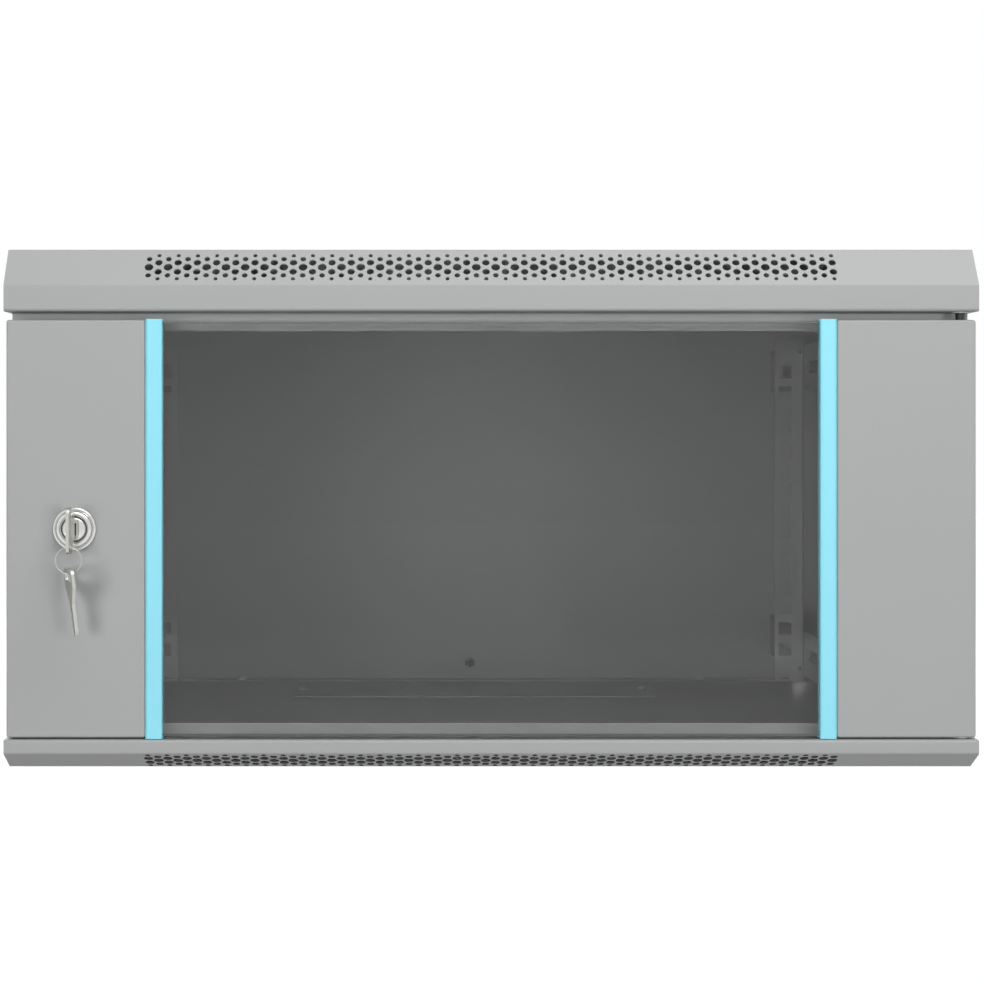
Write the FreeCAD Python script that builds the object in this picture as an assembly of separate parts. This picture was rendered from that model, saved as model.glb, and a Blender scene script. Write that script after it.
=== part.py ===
"""Wall mount network cabinet, 19-inch, five units high.

Millimetres, +Z up, front towards -Y, +X to the right as seen from the front.
The origin is the centre of the four wall holes, on the plane of the wall.
"""
import FreeCAD
import Part
import math
import os

os.makedirs("parts", exist_ok=True)
Vector = FreeCAD.Vector

# ---------------------------------------------------------------- driving dimensions

# Cabinet
cabinet_width = 600.0
cabinet_depth = 450.0
rack_units = 5
unit_height = 44.45
room_over_rack = 62.25
room_under_rack = 38.0
frame_sheet = 1.2
panel_sheet = 1.0
inner_bend = 0.8
fit_gap = 0.2
cut_past = 1.0

# Top and bottom frames, seen from the side
step_depth = 22.0
top_slope_depth = 15.7
top_slope_height = 23.0
top_band_height = 16.3
top_flange_height = 11.1
bottom_slope_depth = 20.0
bottom_slope_height = 12.0
bottom_band_height = 7.5
bottom_flange_height = 7.5

# Vents: columns with one hole on the middle line alternate with columns that have one either side of it
vent_column_pairs = 36
vent_pitch = 5.96
middle_vent_diameter = 5.3
middle_vent_sides = 6
outer_vent_diameter = 4.5
outer_vent_shift = 3.6
outer_vent_sides = 4

# Side and back panels
jamb_width = 18.0
panel_fold = 14.0
back_fold = 15.0
wall_hole_diameter = 9.0
wall_hole_spacing_x = 550.0
wall_hole_spacing_z = 290.0

# Cable entries
cable_entry_width = 260.0
cable_entry_depth = 60.0
cable_entry_setback = 40.0
cable_plate_lap = 12.0
cable_plate_sheet = 1.0

# Rails
rail_opening = 450.0
rail_hole_spacing = 465.1
rail_face = 22.0
rail_web = 25.0
rail_sheet = 1.5
rail_overrun_top = 17.9
rail_overrun_bottom = 17.2
square_hole = 9.5
first_hole_rise = 6.35
hole_step = 15.875
front_rail_setback = 83.0
rail_spacing = 200.0
end_slot_length = 8.3
end_slot_height = 4.5
end_slot_inset = 3.4
relief_hole_diameter = 3.0
relief_hole_inset = 9.4

# Rail brackets
bracket_sheet = 1.5
bracket_web = 32.0
bracket_flange = 14.0
bracket_inset = 21.4
bracket_rear_gap = 25.0
bracket_slot_length = 80.0
bracket_slot_height = 9.0
bracket_slots_per_spacing = 2
bracket_slot_lead = 8.25
bracket_end = 14.0

# Fasteners: shank diameter, head diameter, head height
head_sides = 6
shank_sides = 4
panel_screw = (5.0, 9.0, 2.4)
plate_screw = (4.0, 8.0, 2.0)
rail_bolt = (6.0, 13.0, 3.3)
rail_bolt_end = 2.0
rail_nut_flats = 10.0
rail_nut_height = 5.0
stud_diameter = 4.0
stud_length = 14.0
stud_nut_flats = 7.0
stud_nut_height = 3.2
stud_height = 15.8
screw_end_margin = 55.0

# Door
door_side_gap = 1.0
door_setback = 3.0
door_fold = 14.0
door_sheet = 1.2
door_edge_round = 1.5
door_gap_over = 5.1
door_gap_under = 0.9
stile_width = 85.5
strip_width = 10.9
strip_proud = 1.0
strip_overrun = 0.5
strip_depth = 9.6
glass_thickness = 5.0
glass_setback = 1.0
glass_bite = 7.0
glass_inset = 1.1
glass_chamfer = 0.6
glass_play = 0.1

# Hinge pins and bushes
hinge_inset = 8.0
pin_diameter = 6.0
pin_play = 0.05
pin_head = (9.0, 2.0)
pin_head_sides = 8
bush_wall = 1.0
bush_flange = (10.0, 0.6)
bush_reach = 2.4
upper_pin_reach = 11.0
lower_pin_reach = 4.5

# Lock
lock_inset = 42.3
lock_drop = 12.0
rosette_diameter = 27.0
rosette_height = 4.0
barrel_diameter = 19.0
barrel_flats = 16.0
barrel_play = 0.1
lock_nut_flats = 23.0
lock_nut_height = 5.0
lock_nut_bore_sides = 12
plug_head_diameter = 15.4
plug_head_height = 2.6
plug_diameter = 12.0
plug_play = 0.05
plug_recess = 0.4
plug_tail = 6.0
cam_length = 36.0
cam_width = 16.0
cam_sheet = 2.0
cam_jamb_gap = 1.6
cam_play = 0.3
cam_screw_size = (4.0, 9.0, 3.0)
cam_screw_depth = 7.0

# Keys and ring
key_sheet = 2.0
key_blade = 7.5
key_blade_length = 19.0
key_shoulder_gap = 2.0
key_bow_width = 28.4
key_taper = 11.0
key_head = 11.0
key_slot_width = 22.6
key_slot_height = 6.0
key_rim = 2.5
key_corner = 5.0
key_cut_depths = (1.4, 0.7, 1.7, 1.0)
key_cut_slope = 1.0
keyway_play = 0.2
ring_diameter = 16.0
ring_wire = 1.2
ring_steps = 24
ring_sides = 6
ring_play = 0.5
spare_key_twist = 19.0
spare_key_lean = 7.0

# ---------------------------------------------------------------- derived places

top_z = (rack_units * unit_height + room_over_rack + room_under_rack) / 2
bottom_z = -top_z
rack_bottom_z = bottom_z + room_under_rack
side_x = cabinet_width / 2
front_y = -cabinet_depth
opening_y = front_y + step_depth

ceiling_z = top_z - frame_sheet
floor_z = bottom_z + frame_sheet
top_bend_z = top_z - top_slope_height
top_band_z = top_bend_z - top_band_height
bottom_bend_z = bottom_z + bottom_slope_height
ledge_z = bottom_bend_z + bottom_band_height

panel_x = side_x - frame_sheet - fit_gap
panel_inner_x = panel_x - panel_sheet
panel_top_z = ceiling_z - fit_gap
panel_bottom_z = floor_z + fit_gap
jamb_y = opening_y + frame_sheet + fit_gap

rail_bottom_z = rack_bottom_z - rail_overrun_bottom
rail_top_z = rack_bottom_z + rack_units * unit_height + rail_overrun_top
rail_inner_x = rail_opening / 2
rail_outer_x = rail_inner_x + rail_face
rail_hole_x = rail_hole_spacing / 2
front_rail_y = front_y + front_rail_setback
rear_rail_y = front_rail_y + rail_spacing
rail_bolt_setback = (rail_sheet + rail_web) / 2
slot_pitch = rail_spacing / bracket_slots_per_spacing
slot_front_y = front_rail_y + rail_bolt_setback - bracket_slot_lead
slot_room = -bracket_rear_gap - bracket_end - slot_front_y
bracket_front_y = slot_front_y - bracket_end

door_half = side_x - door_side_gap
door_y = front_y + door_setback
door_back_y = door_y + door_fold
door_top_z = top_band_z - door_gap_over
door_bottom_z = ledge_z + door_gap_under
stile_inner_x = door_half - stile_width
strip_inner_x = stile_inner_x - strip_width
hinge_x = door_half - hinge_inset
hinge_y = (door_y + door_back_y) / 2

lock_x = -(door_half - lock_inset)
lock_z = -lock_drop
cam_y = jamb_y + panel_sheet + cam_jamb_gap
barrel_end_y = cam_y - cam_play
rosette_y = door_y - rosette_height
plug_y = rosette_y + plug_recess
key_length = key_blade_length + key_taper + key_head
key_tip_y = plug_y - key_shoulder_gap + key_blade_length
key_slot_level = key_length - key_rim - key_slot_height / 2
ring_y = key_tip_y - key_slot_level
key_bar_half = (key_bow_width - key_slot_width) / 4
ring_pivot_z = lock_z - key_bow_width / 2 + key_bar_half
ring_top_z = ring_pivot_z + key_bar_half + ring_wire / 2 + ring_play
ring_bottom_z = ring_top_z - ring_diameter


# ---------------------------------------------------------------- shaping helpers

def direction(start, end):
    """Unit step from one flat point to the next."""
    length = math.hypot(end[0] - start[0], end[1] - start[1])
    return ((end[0] - start[0]) / length, (end[1] - start[1]) / length)


def offset_line(points, distance):
    """The line moved to its left by a distance, with mitred corners."""
    steps = [direction(a, b) for a, b in zip(points, points[1:])]
    before = [steps[0]] + steps
    after = steps + [steps[-1]]
    moved = []
    for point, one, two in zip(points, before, after):
        share = distance / (1 + one[0] * two[0] + one[1] * two[1])
        moved.append((point[0] - share * (one[1] + two[1]), point[1] + share * (one[0] + two[0])))
    return moved


def rounded_edges(points, radii, place):
    """Edges along flat points; each inner corner is rounded by its own radius."""
    edges = []
    start = points[0]
    for before, corner, after, radius in zip(points, points[1:], points[2:], radii):
        arriving = direction(before, corner)
        leaving = direction(corner, after)
        turn = math.acos(max(-1.0, min(1.0, arriving[0] * leaving[0] + arriving[1] * leaving[1])))
        if radius <= 0 or turn < 1e-6:
            edges.append(Part.makeLine(place(*start), place(*corner)))
            start = corner
            continue
        tangent = radius * math.tan(turn / 2)
        reach = radius / math.cos(turn / 2) - radius
        inward = direction(arriving, leaving)
        first = (corner[0] - arriving[0] * tangent, corner[1] - arriving[1] * tangent)
        middle = (corner[0] + inward[0] * reach, corner[1] + inward[1] * reach)
        last = (corner[0] + leaving[0] * tangent, corner[1] + leaving[1] * tangent)
        edges.append(Part.makeLine(place(*start), place(*first)))
        edges.append(Part.Arc(place(*first), place(*middle), place(*last)).toShape())
        start = last
    edges.append(Part.makeLine(place(*start), place(*points[-1])))
    return edges


def rounded_face(points, radii, place):
    """Closed flat outline with one radius for each corner."""
    middle = ((points[-1][0] + points[0][0]) / 2, (points[-1][1] + points[0][1]) / 2)
    path = [middle] + list(points) + [middle]
    return Part.Face(Part.Wire(rounded_edges(path, radii, place)))


def sheet_face(points, thickness, place, bend=0.0):
    """Section of a folded sheet that lies to the left of its line; without a bend its corners are sharp."""
    steps = [direction(a, b) for a, b in zip(points, points[1:])]
    outer_radii = []
    for one, two in zip(steps, steps[1:]):
        turns_left = one[0] * two[1] - one[1] * two[0] > 0
        outer_radii.append(bend + thickness if turns_left else bend)
    inner_radii = [2 * bend + thickness - radius for radius in outer_radii]
    if bend == 0:
        outer_radii = inner_radii = [0.0] * len(outer_radii)
    inner = offset_line(points, thickness)
    edges = rounded_edges(points, outer_radii, place)
    edges.append(Part.makeLine(place(*points[-1]), place(*inner[-1])))
    edges += rounded_edges(inner[::-1], inner_radii[::-1], place)
    edges.append(Part.makeLine(place(*inner[0]), place(*points[0])))
    return Part.Face(Part.Wire(edges))


def side_view(x):
    """Places flat (y, z) points at one x."""
    return lambda y, z: Vector(x, y, z)


def plan_view(z):
    """Places flat (x, y) points at one height."""
    return lambda x, y: Vector(x, y, z)


def front_view(y):
    """Places flat (x, z) points at one depth."""
    return lambda x, z: Vector(x, y, z)


def block(low, high):
    """Box between two opposite corners."""
    return Part.makeBox(high[0] - low[0], high[1] - low[1], high[2] - low[2], Vector(*low))


def rod(radius, start, end):
    """Cylinder from one point to another."""
    span = Vector(*end) - Vector(*start)
    return Part.makeCylinder(radius, span.Length, Vector(*start), span)


def bar(sides, radius, start, end):
    """Bar with a regular section, from one point to another; radius is to its corners."""
    span = Vector(*end) - Vector(*start)
    turn = FreeCAD.Rotation(Vector(0, 0, 1), span)
    corners = []
    for index in range(sides + 1):
        angle = 2 * math.pi * (index + 0.5) / sides
        reach = Vector(radius * math.cos(angle), radius * math.sin(angle), 0)
        corners.append(turn.multVec(reach) + Vector(*start))
    return Part.Face(Part.makePolygon(corners)).extrude(span)


def nut(flats, hole, seat, axis, height):
    """Hexagon nut that stands on its seat, with a hole for the shank."""
    far = Vector(*seat) + Vector(*axis) * height
    body = bar(6, flats / math.sqrt(3), seat, far)
    return body.cut(shank_bar(hole, seat, far))


def shank_bar(diameter, start, end):
    """Shank of a fastener or the hole for one."""
    return bar(shank_sides, diameter / 2, start, end)


def clipped_bar(length, height, centre, depth, place):
    """Bar with clipped corners, long in the first flat direction, reaching both ways to a depth."""
    far = length / 2
    tall = height / 2
    clip = height / 4
    corner = [(far, tall - clip), (far - clip, tall)]
    points = corner + [(-a, b) for a, b in corner[::-1]]
    points += [(-a, -b) for a, b in points]
    outline = [place(centre[0] + a, centre[1] + b) for a, b in points]
    face = Part.Face(Part.makePolygon(outline + outline[:1]))
    normal = face.normalAt(0, 0)
    face.translate(normal * -depth)
    return face.extrude(normal * 2 * depth)


def mirrored(shape):
    """The same piece for the other side of the cabinet."""
    return shape.mirror(Vector(0, 0, 0), Vector(1, 0, 0))


def screw(size, head_seat, axis, shank_length):
    """Fastener whose head stands back from its seat and whose shank runs on from it."""
    shank, head, head_height = size
    seat = Vector(*head_seat)
    way = Vector(*axis)
    cap = bar(head_sides, head / 2, seat - way * head_height, seat)
    return cap.fuse(shank_bar(shank, seat, seat + way * shank_length))


def square_cutter(size, x, z, face_y, depth):
    """Cutter for a square hole through a sheet that faces the front."""
    half = size / 2
    return block((x - half, face_y - cut_past, z - half), (x + half, face_y + depth + cut_past, z + half))


def hole_through(diameter, centre, axis, depth):
    """Cutter for a fastener's hole, reaching both ways from its centre to a depth."""
    reach = Vector(*axis) * depth
    middle = Vector(*centre)
    return shank_bar(diameter, middle - reach, middle + reach)


def export(name, shape):
    """Writes one sub-part."""
    shape.exportStep("parts/" + name + ".step")


# ---------------------------------------------------------------- vents

def vent_cutters(low, high, with_outer_rows):
    """Holes through a slope that runs between two (y, z) points."""
    along = direction(low, high)
    run = Vector(0, along[0], along[1])
    out = Vector(0, -along[1], along[0]) * 2 * frame_sheet
    middle = Vector(0, (low[0] + high[0]) / 2, (low[1] + high[1]) / 2)
    cutters = []
    for pair in range(vent_column_pairs):
        x = (2 * (pair - vent_column_pairs / 2) + 0.5) * vent_pitch
        centre = middle + Vector(x, 0, 0)
        cutters.append(bar(middle_vent_sides, middle_vent_diameter / 2, centre - out, centre + out))
        if not with_outer_rows:
            continue
        for shift in (-outer_vent_shift, outer_vent_shift):
            centre = middle + Vector(x + vent_pitch, 0, 0) + run * shift
            cutters.append(bar(outer_vent_sides, outer_vent_diameter / 2, centre - out, centre + out))
    return cutters


def skirt(points, radii, side):
    """End plate of a frame, flush with the cabinet's side."""
    x = side * side_x
    face = rounded_face(points, radii, side_view(x))
    return face.extrude(Vector(-side * frame_sheet, 0, 0))


def frame_screw_places():
    """Where a frame and the side panels' folds are screwed together."""
    x = panel_x - panel_fold / 2
    return [(side * x, y) for side in (-1, 1) for y in (opening_y + screw_end_margin, -screw_end_margin)]


def back_screw_places():
    """Where the back panel's long folds are screwed to the frames."""
    x = side_x - 2 * screw_end_margin
    return [(side * x, -back_fold / 2) for side in (-1, 1)]


def plate_screw_places():
    """Both ends of a cable entry's cover plate."""
    x = (cable_entry_width + cable_plate_lap) / 2
    return [(side * x, -cable_entry_setback - cable_entry_depth / 2) for side in (-1, 1)]


def frame_holes(sheet_z):
    """Cutters for every screw that goes through a frame's flat sheet, and for its cable entry."""
    up = (0, 0, 1)
    depth = 2 * frame_sheet
    cutters = [hole_through(panel_screw[0], (x, y, sheet_z), up, depth)
               for x, y in frame_screw_places() + back_screw_places()]
    cutters += [hole_through(plate_screw[0], (x, y, sheet_z), up, depth) for x, y in plate_screw_places()]
    rear = -cable_entry_setback
    half = cable_entry_width / 2
    cutters.append(block((-half, rear - cable_entry_depth, sheet_z - depth), (half, rear, sheet_z + depth)))
    return cutters


def make_top_frame():
    """Roof with a perforated slope, a band over the door and a flange behind it."""
    bend = (front_y + top_slope_depth, top_z)
    line = [(0, top_z), bend, (front_y, top_bend_z), (front_y, top_band_z),
            (opening_y, top_band_z), (opening_y, top_band_z - top_flange_height)]
    roof = sheet_face(line, frame_sheet, side_view(frame_sheet - side_x), inner_bend)
    roof = roof.extrude(Vector(cabinet_width - 2 * frame_sheet, 0, 0))
    outline = [(0, top_z), bend, (front_y, top_bend_z), (front_y, top_band_z), (0, top_band_z)]
    radii = [0, inner_bend + frame_sheet, inner_bend + frame_sheet, inner_bend + frame_sheet, 0]
    frame = roof.multiFuse([skirt(outline, radii, side) for side in (-1, 1)]).removeSplitter()
    cutters = vent_cutters(bend, (front_y, top_bend_z), True) + frame_holes(top_z)
    cutters.append(bush_bar(top_band_z - frame_sheet, top_band_z + 2 * frame_sheet))
    return frame.cut(cutters)


def make_bottom_frame():
    """Floor with a ledge under the door and a perforated slope below it."""
    bend = (front_y + bottom_slope_depth, bottom_z)
    line = [(opening_y, ledge_z + bottom_flange_height), (opening_y, ledge_z), (front_y, ledge_z),
            (front_y, bottom_bend_z), bend, (0, bottom_z)]
    floor = sheet_face(line, frame_sheet, side_view(frame_sheet - side_x), inner_bend)
    floor = floor.extrude(Vector(cabinet_width - 2 * frame_sheet, 0, 0))
    outline = [(0, bottom_z), bend, (front_y, bottom_bend_z), (front_y, ledge_z), (0, ledge_z)]
    radii = [0, inner_bend + frame_sheet, inner_bend + frame_sheet, inner_bend, 0]
    frame = floor.multiFuse([skirt(outline, radii, side) for side in (-1, 1)]).removeSplitter()
    cutters = vent_cutters((front_y, bottom_bend_z), bend, False) + frame_holes(bottom_z)
    cutters.append(rod(pin_diameter / 2, (hinge_x, hinge_y, ledge_z - 2 * frame_sheet),
                       (hinge_x, hinge_y, ledge_z + frame_sheet)))
    return frame.cut(cutters)


# ---------------------------------------------------------------- panels

def bracket_screw_places():
    """(y, z) of the screws that hold the rail brackets on the right side panel."""
    places = []
    for centre_z in (lower_bracket_z(), upper_bracket_z()):
        away = 1 if centre_z > rail_middle_z() else -1
        z = centre_z + away * (bracket_web / 2 + (bracket_flange + bracket_sheet) / 2)
        for y in (bracket_front_y + screw_end_margin, -bracket_rear_gap - screw_end_margin):
            places.append((y, z))
    return places


def make_right_side_panel():
    """Pan with a wide jamb in front and folds under the roof and over the floor."""
    jamb = [(panel_x - jamb_width, jamb_y), (panel_x, jamb_y), (panel_x, -fit_gap)]
    height = Vector(0, 0, panel_top_z - panel_bottom_z)
    panel = sheet_face(jamb, panel_sheet, plan_view(panel_bottom_z), inner_bend).extrude(height)
    fold_front = jamb_y + panel_sheet + inner_bend
    folds = []
    for low in (panel_top_z - panel_sheet, panel_bottom_z):
        corner = (panel_x - panel_fold, fold_front, low)
        folds.append(block(corner, (panel_x, -back_fold - fit_gap, low + panel_sheet)))
    panel = panel.multiFuse(folds).removeSplitter()
    depth = 2 * panel_sheet
    cutters = [hole_through(panel_screw[0], (panel_x, y, z), (1, 0, 0), depth)
               for y, z in bracket_screw_places()]
    cutters += [hole_through(panel_screw[0], (x, y, z), (0, 0, 1), depth)
                for x, y in frame_screw_places() if x > 0 for z in (panel_bottom_z, panel_top_z)]
    return panel.cut(cutters)


def make_back_panel():
    """Tray that closes the rear, with its rim folded forwards and four wall holes."""
    half = panel_inner_x - fit_gap
    rim_y = -back_fold
    outer = block((-half, rim_y, panel_bottom_z), (half, 0, panel_top_z))
    hollow = block((panel_sheet - half, rim_y - cut_past, panel_bottom_z + panel_sheet),
                   (half - panel_sheet, -panel_sheet, panel_top_z - panel_sheet))
    corners = [edge for edge in outer.Edges if abs(edge.CenterOfMass.y) < panel_sheet / 2]
    tray = outer.makeChamfer(inner_bend, corners).cut(hollow)
    x = wall_hole_spacing_x / 2
    z = wall_hole_spacing_z / 2
    cutters = [rod(wall_hole_diameter / 2, (a * x, -back_fold, b * z), (a * x, cut_past, b * z))
               for a in (-1, 1) for b in (-1, 1)]
    depth = 2 * panel_sheet
    cutters += [hole_through(panel_screw[0], (x, y, level), (0, 0, 1), depth)
                for x, y in back_screw_places() for level in (panel_bottom_z, panel_top_z)]
    cutters.append(hole_through(stud_diameter, (0, 0, stud_z()), (0, 1, 0), depth))
    return tray.cut(cutters)


def make_cable_plate(low_z):
    """Cover plate over a cable entry, inside the frame."""
    y = cable_entry_setback + cable_entry_depth / 2
    half = cable_entry_width / 2 + cable_plate_lap
    reach = cable_entry_depth / 2 + cable_plate_lap
    plate = block((-half, -y - reach, low_z), (half, reach - y, low_z + cable_plate_sheet))
    cutters = [hole_through(plate_screw[0], (x, at, low_z), (0, 0, 1), 2 * cable_plate_sheet)
               for x, at in plate_screw_places()]
    return plate.cut(cutters)


def stud_z():
    """Height of the earth stud on the back panel."""
    return bottom_z + stud_height


def make_earth_stud():
    """Welded stud that carries the earth lead."""
    return shank_bar(stud_diameter, (0, 0, stud_z()), (0, -stud_length, stud_z()))


def make_earth_nut():
    """Nut run down the stud to the panel."""
    return nut(stud_nut_flats, stud_diameter, (0, -panel_sheet, stud_z()), (0, -1, 0), stud_nut_height)


# ---------------------------------------------------------------- rails and brackets

def rail_middle_z():
    """Height about which a rail and its brackets are alike."""
    return (rail_bottom_z + rail_top_z) / 2


def lower_bracket_z():
    """Centre of a lower bracket's web."""
    return rail_bottom_z + bracket_inset


def upper_bracket_z():
    """Centre of an upper bracket's web."""
    return rail_top_z - bracket_inset


def slot_middles():
    """Depths of the brackets' slots, one pitch apart from the front for as long as there is room."""
    count = int((slot_room - bracket_slot_length) / slot_pitch) + 1
    return [slot_front_y + bracket_slot_length / 2 + index * slot_pitch for index in range(count)]


def square_hole_levels():
    """Heights of the square holes: three to a unit."""
    for unit in range(rack_units):
        for index in range(3):
            yield rack_bottom_z + unit * unit_height + first_hole_rise + index * hole_step


def make_right_rail(face_y):
    """Angle rail with square holes in its face and a web that is bolted to the brackets."""
    line = [(rail_inner_x, face_y), (rail_outer_x, face_y), (rail_outer_x, face_y + rail_web)]
    rail = sheet_face(line, rail_sheet, plan_view(rail_bottom_z))
    rail = rail.extrude(Vector(0, 0, rail_top_z - rail_bottom_z))
    cutters = [square_cutter(square_hole, rail_hole_x, z, face_y, rail_sheet) for z in square_hole_levels()]
    relief_x = rail_outer_x - rail_sheet - relief_hole_diameter / 2
    depth = 2 * rail_sheet
    for z, away in ((rail_bottom_z, 1), (rail_top_z, -1)):
        slot_place = (rail_hole_x, z + away * end_slot_inset)
        cutters.append(clipped_bar(end_slot_length, end_slot_height, slot_place, depth, front_view(face_y)))
        relief_place = (relief_x, face_y, z + away * relief_hole_inset)
        cutters.append(hole_through(relief_hole_diameter, relief_place, (0, 1, 0), depth))
    for z in (lower_bracket_z(), upper_bracket_z()):
        bolt_place = (rail_outer_x, face_y + rail_bolt_setback, z)
        cutters.append(hole_through(rail_bolt[0], bolt_place, (1, 0, 0), depth))
    return rail.cut(cutters)


def make_right_bracket():
    """Lower stepped bracket: a flange on the side panel, a shelf and a slotted web for the rails."""
    centre_z = lower_bracket_z()
    shelf = centre_z - bracket_web / 2
    web_x = rail_outer_x + bracket_sheet
    line = [(panel_inner_x, shelf - bracket_flange), (panel_inner_x, shelf), (web_x, shelf),
            (web_x, centre_z + bracket_web / 2)]
    section = sheet_face(line, bracket_sheet, front_view(bracket_front_y))
    bracket = section.extrude(Vector(0, -bracket_rear_gap - bracket_front_y, 0))
    depth = 2 * bracket_sheet
    cutters = [hole_through(panel_screw[0], (panel_inner_x, y, z), (1, 0, 0), depth)
               for y, z in bracket_screw_places() if z < rail_middle_z()]
    place = side_view(web_x)
    for y in slot_middles():
        cutters.append(clipped_bar(bracket_slot_length, bracket_slot_height, (y, centre_z), depth, place))
    return bracket.cut(cutters)


def make_rail_bolts():
    """Round-headed bolts through the rails' webs and the brackets' slots."""
    grip = rail_sheet + bracket_sheet + rail_nut_height + rail_bolt_end
    bolts = []
    for face_y in (front_rail_y, rear_rail_y):
        for z in (lower_bracket_z(), upper_bracket_z()):
            seat = (rail_outer_x - rail_sheet, face_y + rail_bolt_setback, z)
            bolt = screw(rail_bolt, seat, (1, 0, 0), grip)
            bolts += [bolt, mirrored(bolt)]
    return Part.Compound(bolts)


def make_rail_nuts():
    """Nuts on the rail bolts, outside the brackets' webs."""
    seat = rail_outer_x + bracket_sheet
    nuts = []
    for face_y in (front_rail_y, rear_rail_y):
        y = face_y + rail_bolt_setback
        for z in (lower_bracket_z(), upper_bracket_z()):
            one = nut(rail_nut_flats, rail_bolt[0], (seat, y, z), (1, 0, 0), rail_nut_height)
            nuts += [one, mirrored(one)]
    return Part.Compound(nuts)


def make_bracket_screws():
    """Screws through the brackets' flanges, flush with the outside of the side panels."""
    seat = panel_inner_x - bracket_sheet
    length = panel_x - seat
    screws = []
    for y, z in bracket_screw_places():
        one = screw(panel_screw, (seat, y, z), (1, 0, 0), length)
        screws += [one, mirrored(one)]
    return Part.Compound(screws)


def make_frame_screws():
    """Screws from inside through the side panels' folds into the roof and the floor."""
    screws = []
    for x, y in frame_screw_places():
        for seat, way in ((panel_top_z - panel_sheet, 1), (panel_bottom_z + panel_sheet, -1)):
            length = abs(way * top_z - seat)
            screws.append(screw(panel_screw, (x, y, seat), (0, 0, way), length))
    return Part.Compound(screws)


def make_back_panel_screws():
    """Screws from inside through the back panel's rim into the roof and the floor."""
    screws = []
    for x, y in back_screw_places():
        for seat, way in ((panel_top_z - panel_sheet, 1), (panel_bottom_z + panel_sheet, -1)):
            screws.append(screw(panel_screw, (x, y, seat), (0, 0, way), abs(way * top_z - seat)))
    return Part.Compound(screws)


def make_cable_plate_screws():
    """Screws that hold the two cable entry covers."""
    screws = []
    for x, y in plate_screw_places():
        for seat, way in ((ceiling_z - cable_plate_sheet, 1), (floor_z + cable_plate_sheet, -1)):
            length = cable_plate_sheet + frame_sheet
            screws.append(screw(plate_screw, (x, y, seat), (0, 0, way), length))
    return Part.Compound(screws)


# ---------------------------------------------------------------- door

def bush_bore_radius():
    """Bore of a hinge bush: the pin and its running play."""
    return pin_diameter / 2 + pin_play


def make_stile(low_x, high_x):
    """Steel side of the door: a shallow tray that is open at the rear."""
    outer = block((low_x, door_y, door_bottom_z), (high_x, door_back_y, door_top_z))
    rim = [edge for edge in outer.Edges if edge.CenterOfMass.y < door_y + door_sheet]
    outer = outer.makeFillet(door_edge_round, rim)
    hollow = block((low_x + door_sheet, door_y + door_sheet, door_bottom_z + door_sheet),
                   (high_x - door_sheet, door_back_y + cut_past, door_top_z - door_sheet))
    return outer.cut(hollow)


def barrel_section(play, start, end):
    """Round lock barrel with two flats, along the depth of the door."""
    round_bar = rod(barrel_diameter / 2 + play, (lock_x, start, lock_z), (lock_x, end, lock_z))
    half = barrel_flats / 2 + play
    tall = barrel_diameter
    flats = block((lock_x - half, start, lock_z - tall), (lock_x + half, end, lock_z + tall))
    return round_bar.common(flats)


def make_lock_stile():
    """Stile on the left, with the hole that keeps the lock from turning."""
    stile = make_stile(-door_half, -stile_inner_x)
    return stile.cut(barrel_section(barrel_play, door_y - cut_past, door_y + 2 * door_sheet))


def make_hinge_stile():
    """Stile on the right, with the holes for the upper pin and the lower bush."""
    stile = make_stile(stile_inner_x, door_half)
    depth = 2 * door_sheet
    low, high = door_top_z - depth, door_top_z + depth
    pin_hole = rod(pin_diameter / 2, (hinge_x, hinge_y, low), (hinge_x, hinge_y, high))
    return stile.cut([pin_hole, bush_bar(door_bottom_z - depth, door_bottom_z + depth)])


def make_glass():
    """Toughened pane with a small ground edge."""
    half = strip_inner_x + glass_bite - glass_play
    y = door_y + glass_setback
    low = door_bottom_z + glass_inset
    high = door_top_z - glass_inset
    pane = block((-half, y, low), (half, y + glass_thickness, high))
    return pane.makeChamfer(glass_chamfer, pane.Edges)


def make_right_strip():
    """Channel that grips the edge of the glass and closes against the stile."""
    front = door_y - strip_proud
    back = front + strip_depth
    groove = (door_y + glass_setback - glass_play, door_y + glass_setback + glass_thickness + glass_play)
    deep = strip_inner_x + glass_bite
    near, far = groove
    outer = [(stile_inner_x, front), (stile_inner_x, back), (strip_inner_x, back)]
    slot = [(strip_inner_x, far), (deep, far), (deep, near), (strip_inner_x, near)]
    points = outer + slot + [(strip_inner_x, front)]
    radii = [door_edge_round] + 6 * [0] + [door_edge_round]
    low = door_bottom_z - strip_overrun
    high = door_top_z + strip_overrun
    return rounded_face(points, radii, plan_view(low)).extrude(Vector(0, 0, high - low))


def bush_bar(low_z, high_z):
    """Outside of a hinge bush's barrel, or the hole that it is pressed into."""
    radius = (bush_bore_radius() + bush_wall) / math.cos(math.pi / pin_head_sides)
    return bar(pin_head_sides, radius, (hinge_x, hinge_y, low_z), (hinge_x, hinge_y, high_z))


def flanged_bush(seat_z, way):
    """Bush whose flange lies outside the sheet; way points from the flange into the sheet."""
    flange_diameter, flange_height = bush_flange
    outside = seat_z - way * flange_height
    inside = seat_z + way * bush_reach
    flange = bar(pin_head_sides, flange_diameter / 2, (hinge_x, hinge_y, outside), (hinge_x, hinge_y, seat_z))
    bore = rod(bush_bore_radius(), (hinge_x, hinge_y, outside), (hinge_x, hinge_y, inside))
    return flange.fuse(bush_bar(seat_z, inside)).cut(bore)


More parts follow.
